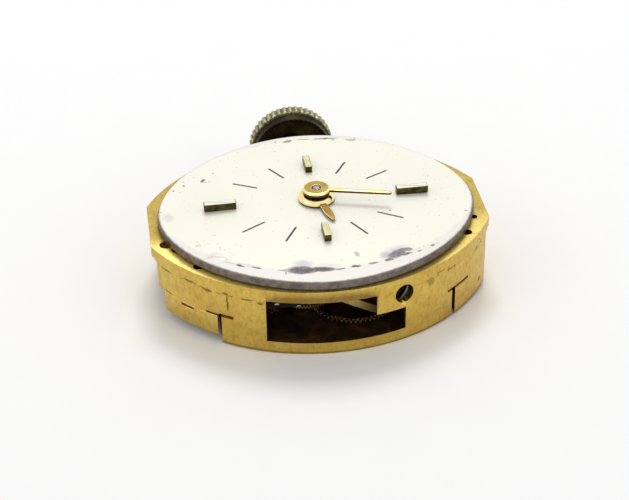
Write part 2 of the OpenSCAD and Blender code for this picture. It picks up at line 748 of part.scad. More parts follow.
module escape_pinion() color("lightsteelblue") {
    translate([escape[0], escape[1], fourth_z - 0.06]) linear_extrude(wheel_t + 0.14)
        gear2d(escape_pinion_n, m_fourth, escape_pinion_a, 0.7, 1.3, 0.4);
    arbor(escape, 0, escape_z + wheel_t + air + 0.02, 0.08);
}

// Swiss lever: entry and exit arms, fork and horns
escape_a = lever_dir - 4;
pallet_spread = 32;
stone_out = 0.02;
function stone(s) = escape + at(r_escape + stone_out, lever_dir + s * pallet_spread);
fork_tip = lever_len - r_impulse;
module pallet_fork() color("silver") slab(escape_z, escape_z + 0.11) difference() {
    union() {
        for (s = [-1, 1]) link(pallet, stone(s) + at(0.14, lever_dir + s * 12), 0.125, 0.1);
        link(pallet, pallet + at(fork_tip - 0.25, lever_dir), 0.1, 0.08);
        link(pallet + at(fork_tip - 0.25, lever_dir), pallet + at(fork_tip + 0.04, lever_dir), 0.12, 0.2);
    }
    translate(pallet) circle(0.08 + seat);
    link(pallet + at(fork_tip - 0.05, lever_dir), pallet + at(fork_tip + 0.5, lever_dir), 0.085, 0.09);
    for (s = [-1, 1]) stone_seat(s, 0.005);
}

module stone_seat(s, gap = 0) {
    translate(stone(s)) rotate(lever_dir + s * 12) translate([-0.03 - gap, -0.05 - gap])
        square([0.26 + 2 * gap, 0.1 + 2 * gap]);
}

module pallet_stones() color("crimson") slab(escape_z - 0.03, escape_z + 0.14)
    for (s = [-1, 1]) stone_seat(s);

module pallet_arbor() color("lightsteelblue") {
    post(pallet, pallet_cock_z + 0.03, escape_z - 0.09, 0.05);
    post(pallet, escape_z - 0.1, escape_z + 0.13, 0.08);
    post(pallet, escape_z + 0.12, escape_z + wheel_t + air + 0.14, 0.05);
}

// Balance: rim with timing screws, two arms, staff, roller and impulse jewel
module balance_wheel() color("gold") {
    slab(balance_z, balance_z + rim_h) translate(balance) difference() {
        circle(r_balance);
        circle(r_balance - 0.28);
    }
    slab(balance_z + 0.08, balance_z + 0.2) translate(balance) difference() {
        union() {
            circle(0.4);
            rotate(lever_dir) square([2 * r_balance - 0.3, 0.24], center = true);
        }
        circle(0.16 + seat);
    }
}

module balance_screws() color("gold")
    for (i = [0:13]) translate([balance[0], balance[1], balance_z + rim_h / 2])
        rotate([0, 90, lever_dir + 360 / 14 * (i + 0.5)]) difference() {
            translate([0, 0, r_balance + seat]) cylinder(h = 0.15, r = 0.11);
            translate([0, 0, r_balance + 0.16]) cube([0.3, 0.04, 0.08], center = true);
        }

module balance_staff() color("lightsteelblue") {
    post(balance, cock_under - 0.02 - jewel_t + 0.01, cock_under - 0.01, 0.05);
    post(balance, cock_under - 0.02, balance_z + 0.07, 0.1);
    post(balance, balance_z + 0.06, balance_z + 0.32, 0.16);
    post(balance, balance_z + 0.31, 1.97, 0.1);
    post(balance, 1.96, 2.19, 0.05);
}

roller_z = 1.5;
module roller() color("silver") slab(roller_z, roller_z + 0.1) translate(balance) difference() {
    circle(r_impulse + 0.14);
    circle(0.1 + seat);
    translate(at(r_impulse, lever_dir + 180)) circle(0.06 + seat);
}

module impulse_jewel() color("crimson") post(balance + at(r_impulse, lever_dir + 180), roller_z - 0.02, escape_z + 0.14, 0.06);

module collet() color("gold") slab(0.83, 0.95) translate(balance) difference() {
    circle(0.24);
    circle(0.1 + seat);
    half_plane(0.05, 0.4, -0.02, 0.02);
}

module hairspring() color("steelblue") translate([balance[0], balance[1], 0.85])
    linear_extrude(0.07) spiral(0.27, r_hair, hairspring_turns, 0.025, 24);

// Motion work under the dial
module cannon_pinion() color("lightsteelblue") difference() {
    union() {
        slab(recess_z + 0.03, 2.96) gear2d(cannon_n, motion_mod, 0, 0.8, 1.2, 0.42);
        post(centre, 2.95, minute_hand_z + 0.23, cannon_r);
    }
    post(centre, 0, 9, post_r + play);
}

module minute_wheel() color("gold") translate([minute_at[0], minute_at[1], 0]) difference() {
    union() {
        translate([0, 0, recess_z + 0.04]) wheel(minute_n, motion_mod, minute_a, 0.13, 4, 0.4, 0.16, 0.25, 0.18);
        slab(2.9, top_z) gear2d(minute_pinion_n, hour_mod, minute_pinion_a, 0.7, 1.2, 0.42);
    }
    cylinder(h = 9, r = 0.16 + play);
}

module hour_wheel() color("gold") difference() {
    union() {
        translate([0, 0, 3.0]) wheel(hour_n, hour_mod, hour_a, 0.14, 4, 0.62, 0.1, 0.24, 0.2);
        post(centre, 3.0, hour_hand_z + 0.17, pipe_r);
    }
    post(centre, 0, 9, cannon_r + play);
}

module dial_washer() color("lightgoldenrodyellow") difference() {
    post(centre, 3.18, 3.24, 1);
    post(centre, 0, 9, pipe_r + 0.03);
}

module setting_wheel() color("silver") translate([setting[0], setting[1], recess_z + 0.04])
    linear_extrude(0.15) difference() {
        gear2d(setting_n, motion_mod, setting_a);
        circle(0.2 + play);
    }

// Keyless work: lever in the stem groove, yoke in the clutch groove, and their springs
module setting_lever() color("silver") {
    slab(keyless_z, keyless_z + keyless_t) difference() {
        union() {
            link(lever_at, [0.02, lever_pin_y], 0.42, 0.18);
            link(lever_at, lever_at + [0.35, -0.85], 0.36, 0.16);
        }
        translate(lever_at) circle(0.14 + play);
    }
    post([0, lever_pin_y], stem_z + stem_groove_r + 0.03, keyless_z + 0.01, 0.11);
}

module setting_lever_spring() color("lightsteelblue") slab(keyless_z, keyless_z + 0.12) difference() {
    union() {
        translate(lever_spring_at) circle(0.38);
        strip([lever_spring_at + [-0.2, 0.2], [2.85, 3.6], [2.7, 3.86]], 0.12);
    }
    translate(lever_spring_at) circle(0.14 + seat);
}

lever_spring_at = [3.45, 3.05];
yoke_spring_at = [-3.35, 1.2];
keyless_screw_places = [lever_at, yoke_at, lever_spring_at, yoke_spring_at];
module yoke() color("silver") {
    slab(keyless_z, keyless_z + keyless_t) difference() {
        union() {
            link(yoke_at, [-0.02, yoke_pin_y], 0.4, 0.12);
            link(yoke_at, yoke_at + [-0.75, -0.5], 0.36, 0.14);
        }
        translate(yoke_at) circle(0.14 + play);
    }
    post([0, yoke_pin_y], stem_z + clutch_groove_r + 0.03, keyless_z + 0.01, 0.08);
}

module yoke_spring() color("lightsteelblue") slab(keyless_z, keyless_z + 0.12) difference() {
    union() {
        translate(yoke_spring_at) circle(0.36);
        strip([yoke_spring_at + [0.1, 0.25], [-3.45, 2.2], [-3.2, 2.87]], 0.1);
    }
    translate(yoke_spring_at) circle(0.14 + seat);
}

module keyless_screws() color("lightsteelblue")
    for (p = keyless_screw_places) difference() {
        union() {
            post(p, recess_z - 0.4, keyless_z + keyless_t + 0.02, 0.14);
            post(p, keyless_z + keyless_t + 0.01, keyless_z + keyless_t + 0.12, 0.26);
        }
        translate([p[0], p[1], keyless_z + keyless_t + 0.13]) cube([0.7, 0.07, 0.08], center = true);
    }

// Winding pinion: spur teeth round it and saw teeth towards the clutch
function face_teeth(n) = [for (i = [0:n - 1]) i * 360 / n];
module winding_pinion() color("silver") difference() {
    union() {
        translate([0, winding_pinion_y + 0.04, stem_z]) rotate([-90, 0, 0])
            linear_extrude(winding_pinion_end - winding_pinion_y - 0.1) gear2d(winding_pinion_n, wind_mod, winding_pinion_a, 0.6, 1, 0.44);
        along_stem(winding_pinion_y + 0.02, winding_pinion_end - 0.03, 0.8);
    }
    along_stem(0, 9, 0.3 + play);
}
winding_pinion_a = 90 + (crown_wheel_a - 90) * crown_wheel_n / winding_pinion_n + 180 / winding_pinion_n;

// Sliding pinion: square bore on the stem, groove for the yoke, crown teeth for setting
module sliding_pinion() color("silver") translate([0, 0, stem_z]) rotate([-90, 0, 0]) difference() {
    union() {
        translate([0, 0, clutch_y + 0.12]) cylinder(h = clutch_groove[0] - clutch_y - 0.12, r = clutch_r);
        translate([0, 0, clutch_y]) cylinder(h = 0.13, r = clutch_r);
        translate([0, 0, clutch_groove[0] - 0.01]) cylinder(h = 0.24, r = clutch_groove_r);
        translate([0, 0, clutch_groove[1]]) cylinder(h = clutch_end - clutch_groove[1], r = 0.85);
    }
    translate([0, 0, 6]) cube([0.4 + 2 * play, 0.4 + 2 * play, 12], center = true);
    // Gaps between the crown teeth, and the sink inside them
    for (i = [0:7]) rotate(i * 180 / 8) cube([4, 0.24, 2 * (clutch_y + 0.12)], center = true);
    translate([0, 0, clutch_y - 1]) cylinder(h = 1.12, r = clutch_r - 0.28);
}

// Winding stem: pilot, square, bearing, groove and threaded end in the crown
module winding_stem() color("lightsteelblue") translate([0, 0, stem_z]) rotate([-90, 0, 0]) {
    translate([0, 0, stem_pilot_y]) cylinder(h = clutch_y - stem_pilot_y, r = stem_pilot_r);
    translate([0, 0, clutch_y - stem_pull + 0.05]) linear_extrude(winding_pinion_y - clutch_y + stem_pull - 0.05) intersection() {
        square(0.4, center = true);
        circle(0.27);
    }
    translate([0, 0, winding_pinion_y - 0.01]) cylinder(h = winding_pinion_end - winding_pinion_y + 0.02, r = 0.3);
    translate([0, 0, winding_pinion_end]) cylinder(h = stem_groove[0] - winding_pinion_end, r = stem_r);
    translate([0, 0, stem_groove[0] - 0.01]) cylinder(h = 0.32, r = stem_groove_r);
    translate([0, 0, stem_groove[1]]) cylinder(h = 0.9, r = stem_r);
    translate([0, 0, stem_groove[1] + 0.89]) cylinder(h = crown_y + 1 - stem_groove[1] - 0.89, r = 0.26);
}

module crown() color("darkkhaki") translate([0, crown_y, stem_z]) rotate([-90, 0, 0]) difference() {
    core = crown_r - 0.09;
    union() {
        translate([0, 0, 0.05]) linear_extrude(crown_band) polygon([for (i = [0:2 * crown_knurls - 1])
            at(crown_r - (i % 2) * 0.07, i * 180 / crown_knurls)]);
        rotate_extrude($fn = 96) polygon([[0, 0], [core - 0.05, 0], [core, 0.08], [core, crown_band + 0.05],
            [core - 0.18, crown_band + 0.31], [core * 0.7, crown_len - 0.18], [core * 0.4, crown_len - 0.04], [0, crown_len]]);
        translate([0, 0, -0.35]) cylinder(h = 0.4, r = 1.73);
    }
    difference() {
        translate([0, 0, -1]) cylinder(h = 1 + crown_len - 0.45, r = 1.42);
        translate([0, 0, 0.3]) cylinder(h = 9, r = 0.62);
    }
    translate([0, 0, -1]) cylinder(h = 2.02, r = 0.26 + seat);
}

// Domed dial with its centre hole and two feet
dial_steps = 96;
dial_shift = [-0.03, -0.12];
function sgn(v) = v < 0 ? -1 : 1;
function dial_pt(t) = [dial_a * sgn(cos(t)) * pow(abs(cos(t)), 2 / dial_n),
    dial_b * sgn(sin(t)) * pow(abs(sin(t)), 2 / dial_n)];
module dial() color("ivory") {
    difference() {
        intersection() {
            slab(2, 5) translate(dial_shift) polygon([for (i = [0:dial_steps - 1]) dial_pt(i * 360 / dial_steps)]);
            translate([0, 0, dial_top - dome_r]) rotate_extrude($fn = 96) intersection() {
                difference() {
                    circle(dome_r, $fn = 1800);
                    circle(dome_r - dial_t, $fn = 1800);
                }
                translate([0, dome_r - 2]) square([dial_a + 1, 3]);
            }
        }
        post(centre, 0, 9, 0.58);
        for (m = marker_list) for (s = [-1, 1]) post(at((m[1] + m[2]) / 2 + s * (m[2] - m[1]) * 0.3, m[0]), 2, 5, 0.07 + seat);
    }
    for (s = [-1, 1]) post(s * foot_at, 2.05, dial_top - dial_t + 0.02, foot_r);
}

module dial_screws() color("lightsteelblue") for (s = [0, 180]) rotate(s)
    translate([foot_wall[0], foot_wall[1], side_screw_z]) rotate([0, 90, foot_dir]) difference() {
        union() {
            translate([0, 0, -0.4]) cylinder(h = 0.36, r = side_screw_r);
            translate([0, 0, -1.1 + foot_r + 0.03]) cylinder(h = 1.1 - foot_r - 0.03 - 0.39, r = 0.2);
        }
        rotate(20) cube([2, 0.13, 0.3], center = true);
    }

// Applied hour markers: heading, inner and outer end, width
marker_list = [[0, 3.64, 5.09, 0.3], [180, 3.64, 5.09, 0.3], [90, 2.39, 3.47, 0.31], [-90, 2.39, 3.47, 0.31]];
marker_h = 0.22;
function dome(r) = dial_top - dome_r + sqrt(dome_r ^ 2 - r ^ 2);
module hour_markers() color("olive") for (m = marker_list) {
    z = dome(m[1]);
    slab(z + seat, z + marker_h) rotate(m[0]) half_plane(m[1], m[2], -m[3] / 2, m[3] / 2);
    for (s = [-1, 1]) post(at((m[1] + m[2]) / 2 + s * (m[2] - m[1]) * 0.3, m[0]), z - 0.35, z + 0.05, 0.07);
}

module hour_hand() color("gold") difference() {
    union() {
        post(centre, hour_hand_z, hour_hand_z + 0.22, 0.82);
        slab(hour_hand_z + 0.06, hour_hand_z + 0.14) rotate(hour_angle)
            polygon([[0.5, -0.16], [1.25, -0.22], [hour_len - 0.05, -0.04], [hour_len, 0], [hour_len - 0.05, 0.04],
                [1.25, 0.22], [0.5, 0.16]]);
    }
    post(centre, 0, hour_hand_z + 0.18, pipe_r + seat);
    post(centre, 0, 9, cannon_r + 0.05);
}

module minute_hand() color("gold") difference() {
    union() {
        post(centre, minute_hand_z, minute_hand_z + 0.25, 0.68);
        slab(minute_hand_z + 0.1, minute_hand_z + 0.18) rotate(minute_angle)
            polygon([[0.4, -0.12], [2.4, -0.1], [minute_len - 0.05, -0.06], [minute_len, 0], [minute_len - 0.05, 0.06],
                [2.4, 0.1], [0.4, 0.12]]);
    }
    post(centre, 0, 9, cannon_r + seat);
}

main_plate();
barrel_bridge();
train_bridge();
balance_cock();
pallet_cock();
bridge_screws();
pallet_cock_screws();
plate_jewels();
bridge_jewels();
balance_cap_jewels();
regulator();
hairspring_stud();
crown_wheel();
crown_wheel_screw();
ratchet_wheel();
ratchet_screw();
click();
click_spring();
click_screws();
barrel_drum();
barrel_cover();
barrel_arbor();
mainspring();
centre_wheel();
centre_pinion();
third_wheel();
third_pinion();
fourth_wheel();
fourth_pinion();
escape_wheel();
escape_pinion();
pallet_fork();
pallet_stones();
pallet_arbor();
balance_wheel();
balance_screws();
balance_staff();
roller();
impulse_jewel();
collet();
hairspring();
cannon_pinion();
minute_wheel();
hour_wheel();
dial_washer();
setting_wheel();
setting_lever();
setting_lever_spring();
yoke();
yoke_spring();
keyless_screws();
winding_pinion();
sliding_pinion();
winding_stem();
crown();
dial();
dial_screws();
hour_markers();
hour_hand();
minute_hand();
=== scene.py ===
"""Looks of a small shaped hand-wound watch movement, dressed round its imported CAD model.

Sizes inside the classes are in millimetres, as in the part's source, and a mesh is made in metres.
The origin is on the hand axis in the plane of the bridges: +X to 6 o'clock, +Y to the crown, +Z to the dial.
"""

import json
import logging
import math
from dataclasses import dataclass, field
from enum import Enum
from typing import Any, Sequence

import bmesh
import bpy
import numpy as np
from mathutils import Matrix, Vector

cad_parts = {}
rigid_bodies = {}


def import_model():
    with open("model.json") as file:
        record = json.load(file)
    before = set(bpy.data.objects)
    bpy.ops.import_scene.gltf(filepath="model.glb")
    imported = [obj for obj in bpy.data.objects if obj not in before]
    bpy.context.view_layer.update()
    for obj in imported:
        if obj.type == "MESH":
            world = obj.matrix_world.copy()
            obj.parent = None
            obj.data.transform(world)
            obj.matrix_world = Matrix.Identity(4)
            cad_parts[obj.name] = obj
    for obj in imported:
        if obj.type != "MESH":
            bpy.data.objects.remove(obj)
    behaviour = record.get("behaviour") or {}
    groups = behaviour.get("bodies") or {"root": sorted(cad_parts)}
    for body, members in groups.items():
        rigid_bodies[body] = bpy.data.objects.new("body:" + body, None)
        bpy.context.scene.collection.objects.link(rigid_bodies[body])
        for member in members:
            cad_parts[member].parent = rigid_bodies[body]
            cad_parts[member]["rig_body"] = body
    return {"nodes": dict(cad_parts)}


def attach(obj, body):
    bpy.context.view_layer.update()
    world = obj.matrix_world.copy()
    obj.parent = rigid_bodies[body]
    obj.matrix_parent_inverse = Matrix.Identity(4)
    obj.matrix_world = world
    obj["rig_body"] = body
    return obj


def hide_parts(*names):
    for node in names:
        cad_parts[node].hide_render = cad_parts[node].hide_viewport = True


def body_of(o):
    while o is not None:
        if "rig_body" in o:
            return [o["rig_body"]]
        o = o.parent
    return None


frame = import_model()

LOG = logging.getLogger("movement")
MM = 0.001
SIDE_R, ARC_Y, HALF_LEN = 8.47, 2.08, 7.38  # arcs of the long sides, and half the body's length
Array = np.ndarray
Socket = bpy.types.NodeSocket
Rgb = tuple[int, int, int]
Triple = tuple[float, float, float]
Pair = tuple[float, float]


class Body(Enum):
    """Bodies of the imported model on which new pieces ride."""

    FRAME = "frame"
    STEM = "stem_body"
    BARREL = "barrel_body"
    MINUTE = "cannon_body"
    HOUR = "hour_body"


class Slot(Enum):
    """Material slots of the record."""

    GILT = "gilt_brass"
    BARREL = "barrel_brass"
    WHEEL = "wheel_brass"
    STEEL = "polished_steel"
    SPRING = "spring_steel"
    DARK = "dark_steel"
    RUBY = "ruby"
    DIAL = "silvered_dial"
    MARKER = "gilt_marker"
    HAND = "hand_gilt"
    CROWN = "worn_crown"


def colour(rgb: Rgb) -> tuple[float, float, float, float]:
    """Turns a colour of 0 to 255 into the linear one that a shader reads.

    Args:
        rgb: Red, green and blue as seen on a screen.

    Returns:
        Linear red, green, blue and full opacity.
    """
    value = np.asarray(rgb, float) / 255
    linear = np.where(value <= 0.04045, value / 12.92, ((value + 0.055) / 1.055) ** 2.4)
    return (*[float(v) for v in linear], 1.0)


# --- Materials: a small language for node trees ---


class Graph:
    """Node tree of one material, whose patterns are laid out in millimetres of the object's own space."""

    def __init__(self, name: str) -> None:
        """Starts a material with its shader and a position in millimetres.

        Args:
            name: Name of the material.
        """
        self.material = bpy.data.materials.new(name)
        self.material.use_nodes = True
        self.tree = self.material.node_tree
        self.tree.nodes.clear()
        self.shader = self.node("ShaderNodeBsdfPrincipled")
        output = self.node("ShaderNodeOutputMaterial")
        self.tree.links.new(self.shader.outputs["BSDF"], output.inputs["Surface"])
        source = self.node("ShaderNodeTexCoord")
        self.position = self.mapped(source.outputs["Object"], scale=(1 / MM,) * 3)

    def node(self, kind: str, **settings: Any) -> bpy.types.Node:
        """Adds a node and sets its properties."""
        made = self.tree.nodes.new(kind)
        for key, value in settings.items():
            setattr(made, key, value)
        return made

    def put(self, socket: Socket, value: Any) -> None:
        """Links a socket to another one, or sets it to a plain value."""
        if isinstance(value, bpy.types.NodeSocket):
            self.tree.links.new(value, socket)
        elif value is not None:
            socket.default_value = value

    def mapped(self, vector: Socket, place: Triple = (0, 0, 0), turn: float = 0.0,
               scale: Triple = (1, 1, 1), local: bool = False) -> Socket:
        """Moves, turns and scales a position.

        Args:
            vector: Position that is read.
            place: Shift, or the centre of the local space.
            turn: Turn about Z in degrees.
            scale: Factors, or the half sizes of the local space.
            local: Whether the result is measured in that local space.

        Returns:
            The new position.
        """
        made = self.node("ShaderNodeMapping", vector_type="TEXTURE" if local else "POINT")
        self.put(made.inputs["Vector"], vector)
        made.inputs["Location"].default_value = place
        made.inputs["Rotation"].default_value = (0, 0, math.radians(turn))
        made.inputs["Scale"].default_value = scale
        return made.outputs["Vector"]

    def math(self, operation: str, a: Any, b: Any = None, clamp: bool = False) -> Socket:
        """Adds one arithmetic step."""
        made = self.node("ShaderNodeMath", operation=operation, use_clamp=clamp)
        self.put(made.inputs[0], a)
        self.put(made.inputs[1], b)
        return made.outputs[0]

    def times(self, a: Any, b: Any) -> Socket:
        """The product of two values."""
        return self.math("MULTIPLY", a, b)

    def plus(self, a: Any, b: Any) -> Socket:
        """The sum of two values."""
        return self.math("ADD", a, b)

    def minus(self, a: Any, b: Any) -> Socket:
        """The difference of two values."""
        return self.math("SUBTRACT", a, b)

    def size_of(self, value: Any) -> Socket:
        """A value without its sign."""
        return self.math("ABSOLUTE", value)

    def distance(self, a: Socket, b: Socket) -> Socket:
        """Distance from an axis, from the offsets along the two others."""
        return self.math("SQRT", self.plus(self.times(a, a), self.times(b, b)))

    def most(self, *values: Socket) -> Socket:
        """The largest of several values."""
        result = values[0]
        for value in values[1:]:
            result = self.math("MAXIMUM", result, value)
        return result

    def away(self, value: Socket, level: float) -> Socket:
        """How far a value is from a level."""
        return self.size_of(self.minus(value, level))

    def axes(self, vector: Socket | None = None) -> list[Socket]:
        """Splits a position into x, y and z."""
        made = self.node("ShaderNodeSeparateXYZ")
        self.put(made.inputs[0], vector or self.position)
        return list(made.outputs)

    def noise(self, size: float, stretch: Triple = (1, 1, 1), detail: float = 3, rough: float = 0.55,
              seed: float = 0.0) -> Socket:
        """Soft noise.

        Args:
            size: Size of its patches in millimetres.
            stretch: How many times longer the patches are along each axis.
            detail: Number of finer layers.
            rough: Strength of the finer layers.
            seed: Shift that gives another pattern.

        Returns:
            A value around a half.
        """
        made = self.node("ShaderNodeTexNoise")
        scale = tuple(1 / s for s in stretch)
        vector = self.mapped(self.position, place=(seed, seed * 0.7, seed * 1.3), scale=scale)
        self.put(made.inputs["Vector"], vector)
        made.inputs["Scale"].default_value = 1 / size
        made.inputs["Detail"].default_value = detail
        made.inputs["Roughness"].default_value = rough
        return made.outputs["Fac"]

    def step(self, value: Any, low: float, high: float, to: Pair = (0.0, 1.0)) -> Socket:
        """Smooth step of a value between two limits, onto a range."""
        made = self.node("ShaderNodeMapRange", interpolation_type="SMOOTHSTEP")
        self.put(made.inputs["Value"], value)
        for key, number in zip(("From Min", "From Max", "To Min", "To Max"), (low, high, *to)):
            made.inputs[key].default_value = number
        return made.outputs["Result"]

    def mix(self, factor: Any, a: Socket | Rgb, b: Socket | Rgb, blend: str = "MIX") -> Socket:
        """Mixes two colours, each a socket or red, green and blue as seen on a screen."""
        made = self.node("ShaderNodeMix", data_type="RGBA", blend_type=blend)
        self.put(made.inputs["Factor"], factor)
        for key, value in (("A", a), ("B", b)):
            self.put(made.inputs[key], colour(value) if isinstance(value, tuple) else value)
        return made.outputs[2]

    def ring(self, centre: Pair, radius: float, width: float) -> tuple[Socket, Socket]:
        """A circle drawn round a centre in plan.

        Args:
            centre: Centre of the circle.
            radius: Its radius.
            width: Half width of its line.

        Returns:
            The line's strength, and the distance from the centre.
        """
        x, y, _ = self.axes(self.mapped(self.position, place=(-centre[0], -centre[1], 0)))
        distance = self.distance(x, y)
        return self.step(self.away(distance, radius), width, width * 0.2), distance

    def bump(self, height: Socket, depth: float, strength: float = 1.0) -> Socket:
        """Turns a height into a normal, with its depth in millimetres."""
        made = self.node("ShaderNodeBump")
        made.inputs["Strength"].default_value = strength
        made.inputs["Distance"].default_value = depth * MM
        self.put(made.inputs["Height"], height)
        return made.outputs["Normal"]

    def surface(self, **values: Any) -> bpy.types.Material:
        """Sets the shader's sockets, named with underscores for spaces.

        Args:
            **values: Numbers, colours or sockets.

        Returns:
            The finished material.
        """
        for key, value in values.items():
            self.put(self.shader.inputs[key.replace("_", " ")], value)
        return self.material


@dataclass(frozen=True)
class Blot:
    """A stain or mark: its centre, half sizes, turn about Z in degrees and strength."""

    at: Triple
    half: Triple
    turn: float = 0.0
    strength: float = 1.0
    edge: Pair = (1.12, 0.62)

    def mask(self, graph: Graph, position: Socket) -> Socket:
        """Strength that falls from the centre to the edge of the blot."""
        local = graph.mapped(position, self.at, self.turn, self.half, local=True)
        length = graph.node("ShaderNodeVectorMath", operation="LENGTH")
        graph.put(length.inputs[0], local)
        return graph.step(length.outputs["Value"], *self.edge, (0.0, self.strength))


def blots(graph: Graph, marks: Sequence[Blot], ragged: float) -> Socket:
    """Lays several blots on a surface, with ragged edges.

    Args:
        graph: Material that they belong to.
        marks: The blots.
        ragged: How far noise moves their edges, in millimetres.

    Returns:
        The strongest mask at each point.
    """
    shift = graph.node("ShaderNodeTexNoise")
    graph.put(shift.inputs["Vector"], graph.position)
    shift.inputs["Scale"].default_value = 4.5
    shift.inputs["Detail"].default_value = 5
    moved = graph.node("ShaderNodeVectorMath", operation="MULTIPLY_ADD")
    graph.put(moved.inputs[0], shift.outputs["Color"])
    moved.inputs[1].default_value = (2 * ragged,) * 3
    graph.put(moved.inputs[2], graph.mapped(graph.position, place=(-ragged,) * 3))
    return graph.most(*(mark.mask(graph, moved.outputs[0]) for mark in marks))


def stains(*rows: tuple) -> tuple[Blot, ...]:
    """Blots of a flat face, from rows of x, y, z, half length, half width, turn, strength and edge."""
    return tuple(Blot(row[:3], (*row[3:5], 1), *row[5:]) for row in rows)


@dataclass(frozen=True)
class GiltFinish:
    """Matt gilding over brass: patchy tone, brushing, fine scratches, specks and green tarnish, and, where a
    front colour is given, painted light on the near side.
    """

    name: str
    gold: Rgb = (214, 184, 92)
    warm: Rgb = (208, 168, 78)
    pale: Rgb = (226, 204, 124)
    tarnish: Rgb = (74, 70, 34)
    grain: Triple = (1, 1, 14)
    roughness: Pair = (0.36, 0.5)
    tarnish_share: float = 1.0
    marks: tuple[Blot, ...] = ()
    # Painted light: a paler colour towards the near side.
    front: Rgb | None = None
    shade: Rgb = (150, 118, 44)
    brush: Rgb = (160, 126, 48)
    line_z: float = 2.6
    foot_z: Pair = (0.02, 0.16)

    def build(self) -> bpy.types.Material:
        """Makes the material."""
        g = Graph(self.name)
        x, y, z = g.axes()
        tone = g.mix(g.step(g.noise(1.3, detail=5, rough=0.65), 0.38, 0.7, (0, 0.8)), self.gold, self.warm)
        tone = g.mix(g.step(g.noise(0.45, stretch=(1, 1, 1.8), detail=5, seed=3), 0.5, 0.76, (0, 0.45)), tone,
                     self.pale)
        brushed = g.noise(0.05, stretch=self.grain, detail=2, seed=7)
        mottle = g.noise(0.16, stretch=(1, 1, 1.6), detail=6, rough=0.75, seed=21)
        # Painted light on the near side, weaker towards the right.
        if self.front:
            share = g.times(g.step(y, -0.6, -2.6), g.step(x, 4.5, 0.0, (0.45, 1)))
            tone = g.mix(share, tone, self.front)
        tone = g.mix(g.step(mottle, 0.42, 0.7, (0, 0.34)), tone, self.shade, "MULTIPLY")
        tone = g.mix(g.step(brushed, 0.35, 0.7, (0, 0.05)), tone, self.brush, "MULTIPLY")
        pits = g.step(g.noise(0.07, detail=2, seed=19), 0.66, 0.76, (0, 0.35))
        specks = g.step(g.noise(0.11, detail=1, seed=11), 0.74, 0.8)
        haze = g.step(g.noise(0.9, detail=6, rough=0.7, seed=5), 0.58, 0.8, (0, 0.34 * self.tarnish_share))
        seam = g.step(g.away(z, self.line_z), 0.08, 0.015)
        broken = g.step(g.noise(0.2, stretch=(1.5, 1.5, 0.6), detail=6, rough=0.75, seed=9), 0.54, 0.63)
        dirt = g.most(g.times(seam, broken), g.times(specks, 0.7), haze, pits)
        # Darker towards the bottom edge, where the plate meets the floor.
        foot = g.times(g.step(z, self.foot_z[1], 0.05), g.step(z, 0.0, self.foot_z[0], (0, 0.7)))
        dirt = g.most(g.times(dirt, self.tarnish_share), foot)
        if self.marks:
            dirt = g.most(dirt, blots(g, self.marks, 0.05))
        tone = g.mix(g.times(dirt, 0.85), tone, self.tarnish)
        scratch = g.step(g.noise(0.03, stretch=(9, 1, 40), detail=0, seed=13), 0.66, 0.74)
        scratch = g.most(scratch, g.step(g.noise(0.035, stretch=(30, 22, 1), detail=0, seed=17), 0.69, 0.76))
        height = g.minus(g.times(brushed, 0.25), g.times(scratch, 0.5))
        height = g.plus(height, g.times(mottle, 1.6))
        rough = g.plus(g.times(mottle, 0.6), g.times(dirt, 0.8))
        rough = g.step(rough, 0.1, 0.9, self.roughness)
        return g.surface(Base_Color=tone, Metallic=1.0, Roughness=rough, Normal=g.bump(height, 0.006, 0.6))


@dataclass(frozen=True)
class ShadeFinish:
    """Dull brown surface with soft patches; by default painted shade for the movement's enclosed inside."""

    name: str = "painted_shade_inside"
    # The two tones of the painted shade on the inside.
    deep: Rgb = (44, 30, 16)
    brown: Rgb = (96, 62, 26)
    metallic: float = 0.7
    size: float = 0.7
    # Painted glints: light blots laid on the surface, in the colour set two lines down.
    painted_glints: tuple[Blot, ...] = ()
    grooves: bool = False
    painted_glint: Rgb = (236, 232, 216)
    copper: Rgb = (186, 136, 72)
    groove_z: float = 1.35

    def build(self) -> bpy.types.Material:
        """Makes the material."""
        g = Graph(self.name)
        tone = g.mix(g.step(g.noise(self.size, detail=5), 0.4, 0.68), self.deep, self.brown)
        rough = g.step(g.noise(0.2, detail=3, seed=4), 0.3, 0.7, (0.42, 0.62))
        if self.grooves:
            x, y, z = g.axes()
            out = g.distance(x, g.minus(y, ARC_Y))
            near = g.times(g.step(out, SIDE_R - 0.39, SIDE_R - 0.35),
                          g.step(g.away(z, self.groove_z), 0.24, 0.2))
            beside = g.step(g.size_of(x), 4.1, 4.3)
            tone = g.mix(g.times(near, beside), tone, self.copper)
        # Painted glints: light blots on top of the tone.
        if self.painted_glints:
            tone = g.mix(blots(g, self.painted_glints, 0.02), tone, self.painted_glint)
        return g.surface(Base_Color=tone, Metallic=self.metallic, Roughness=rough,
                         Normal=g.bump(g.noise(0.08, detail=3), 0.006))


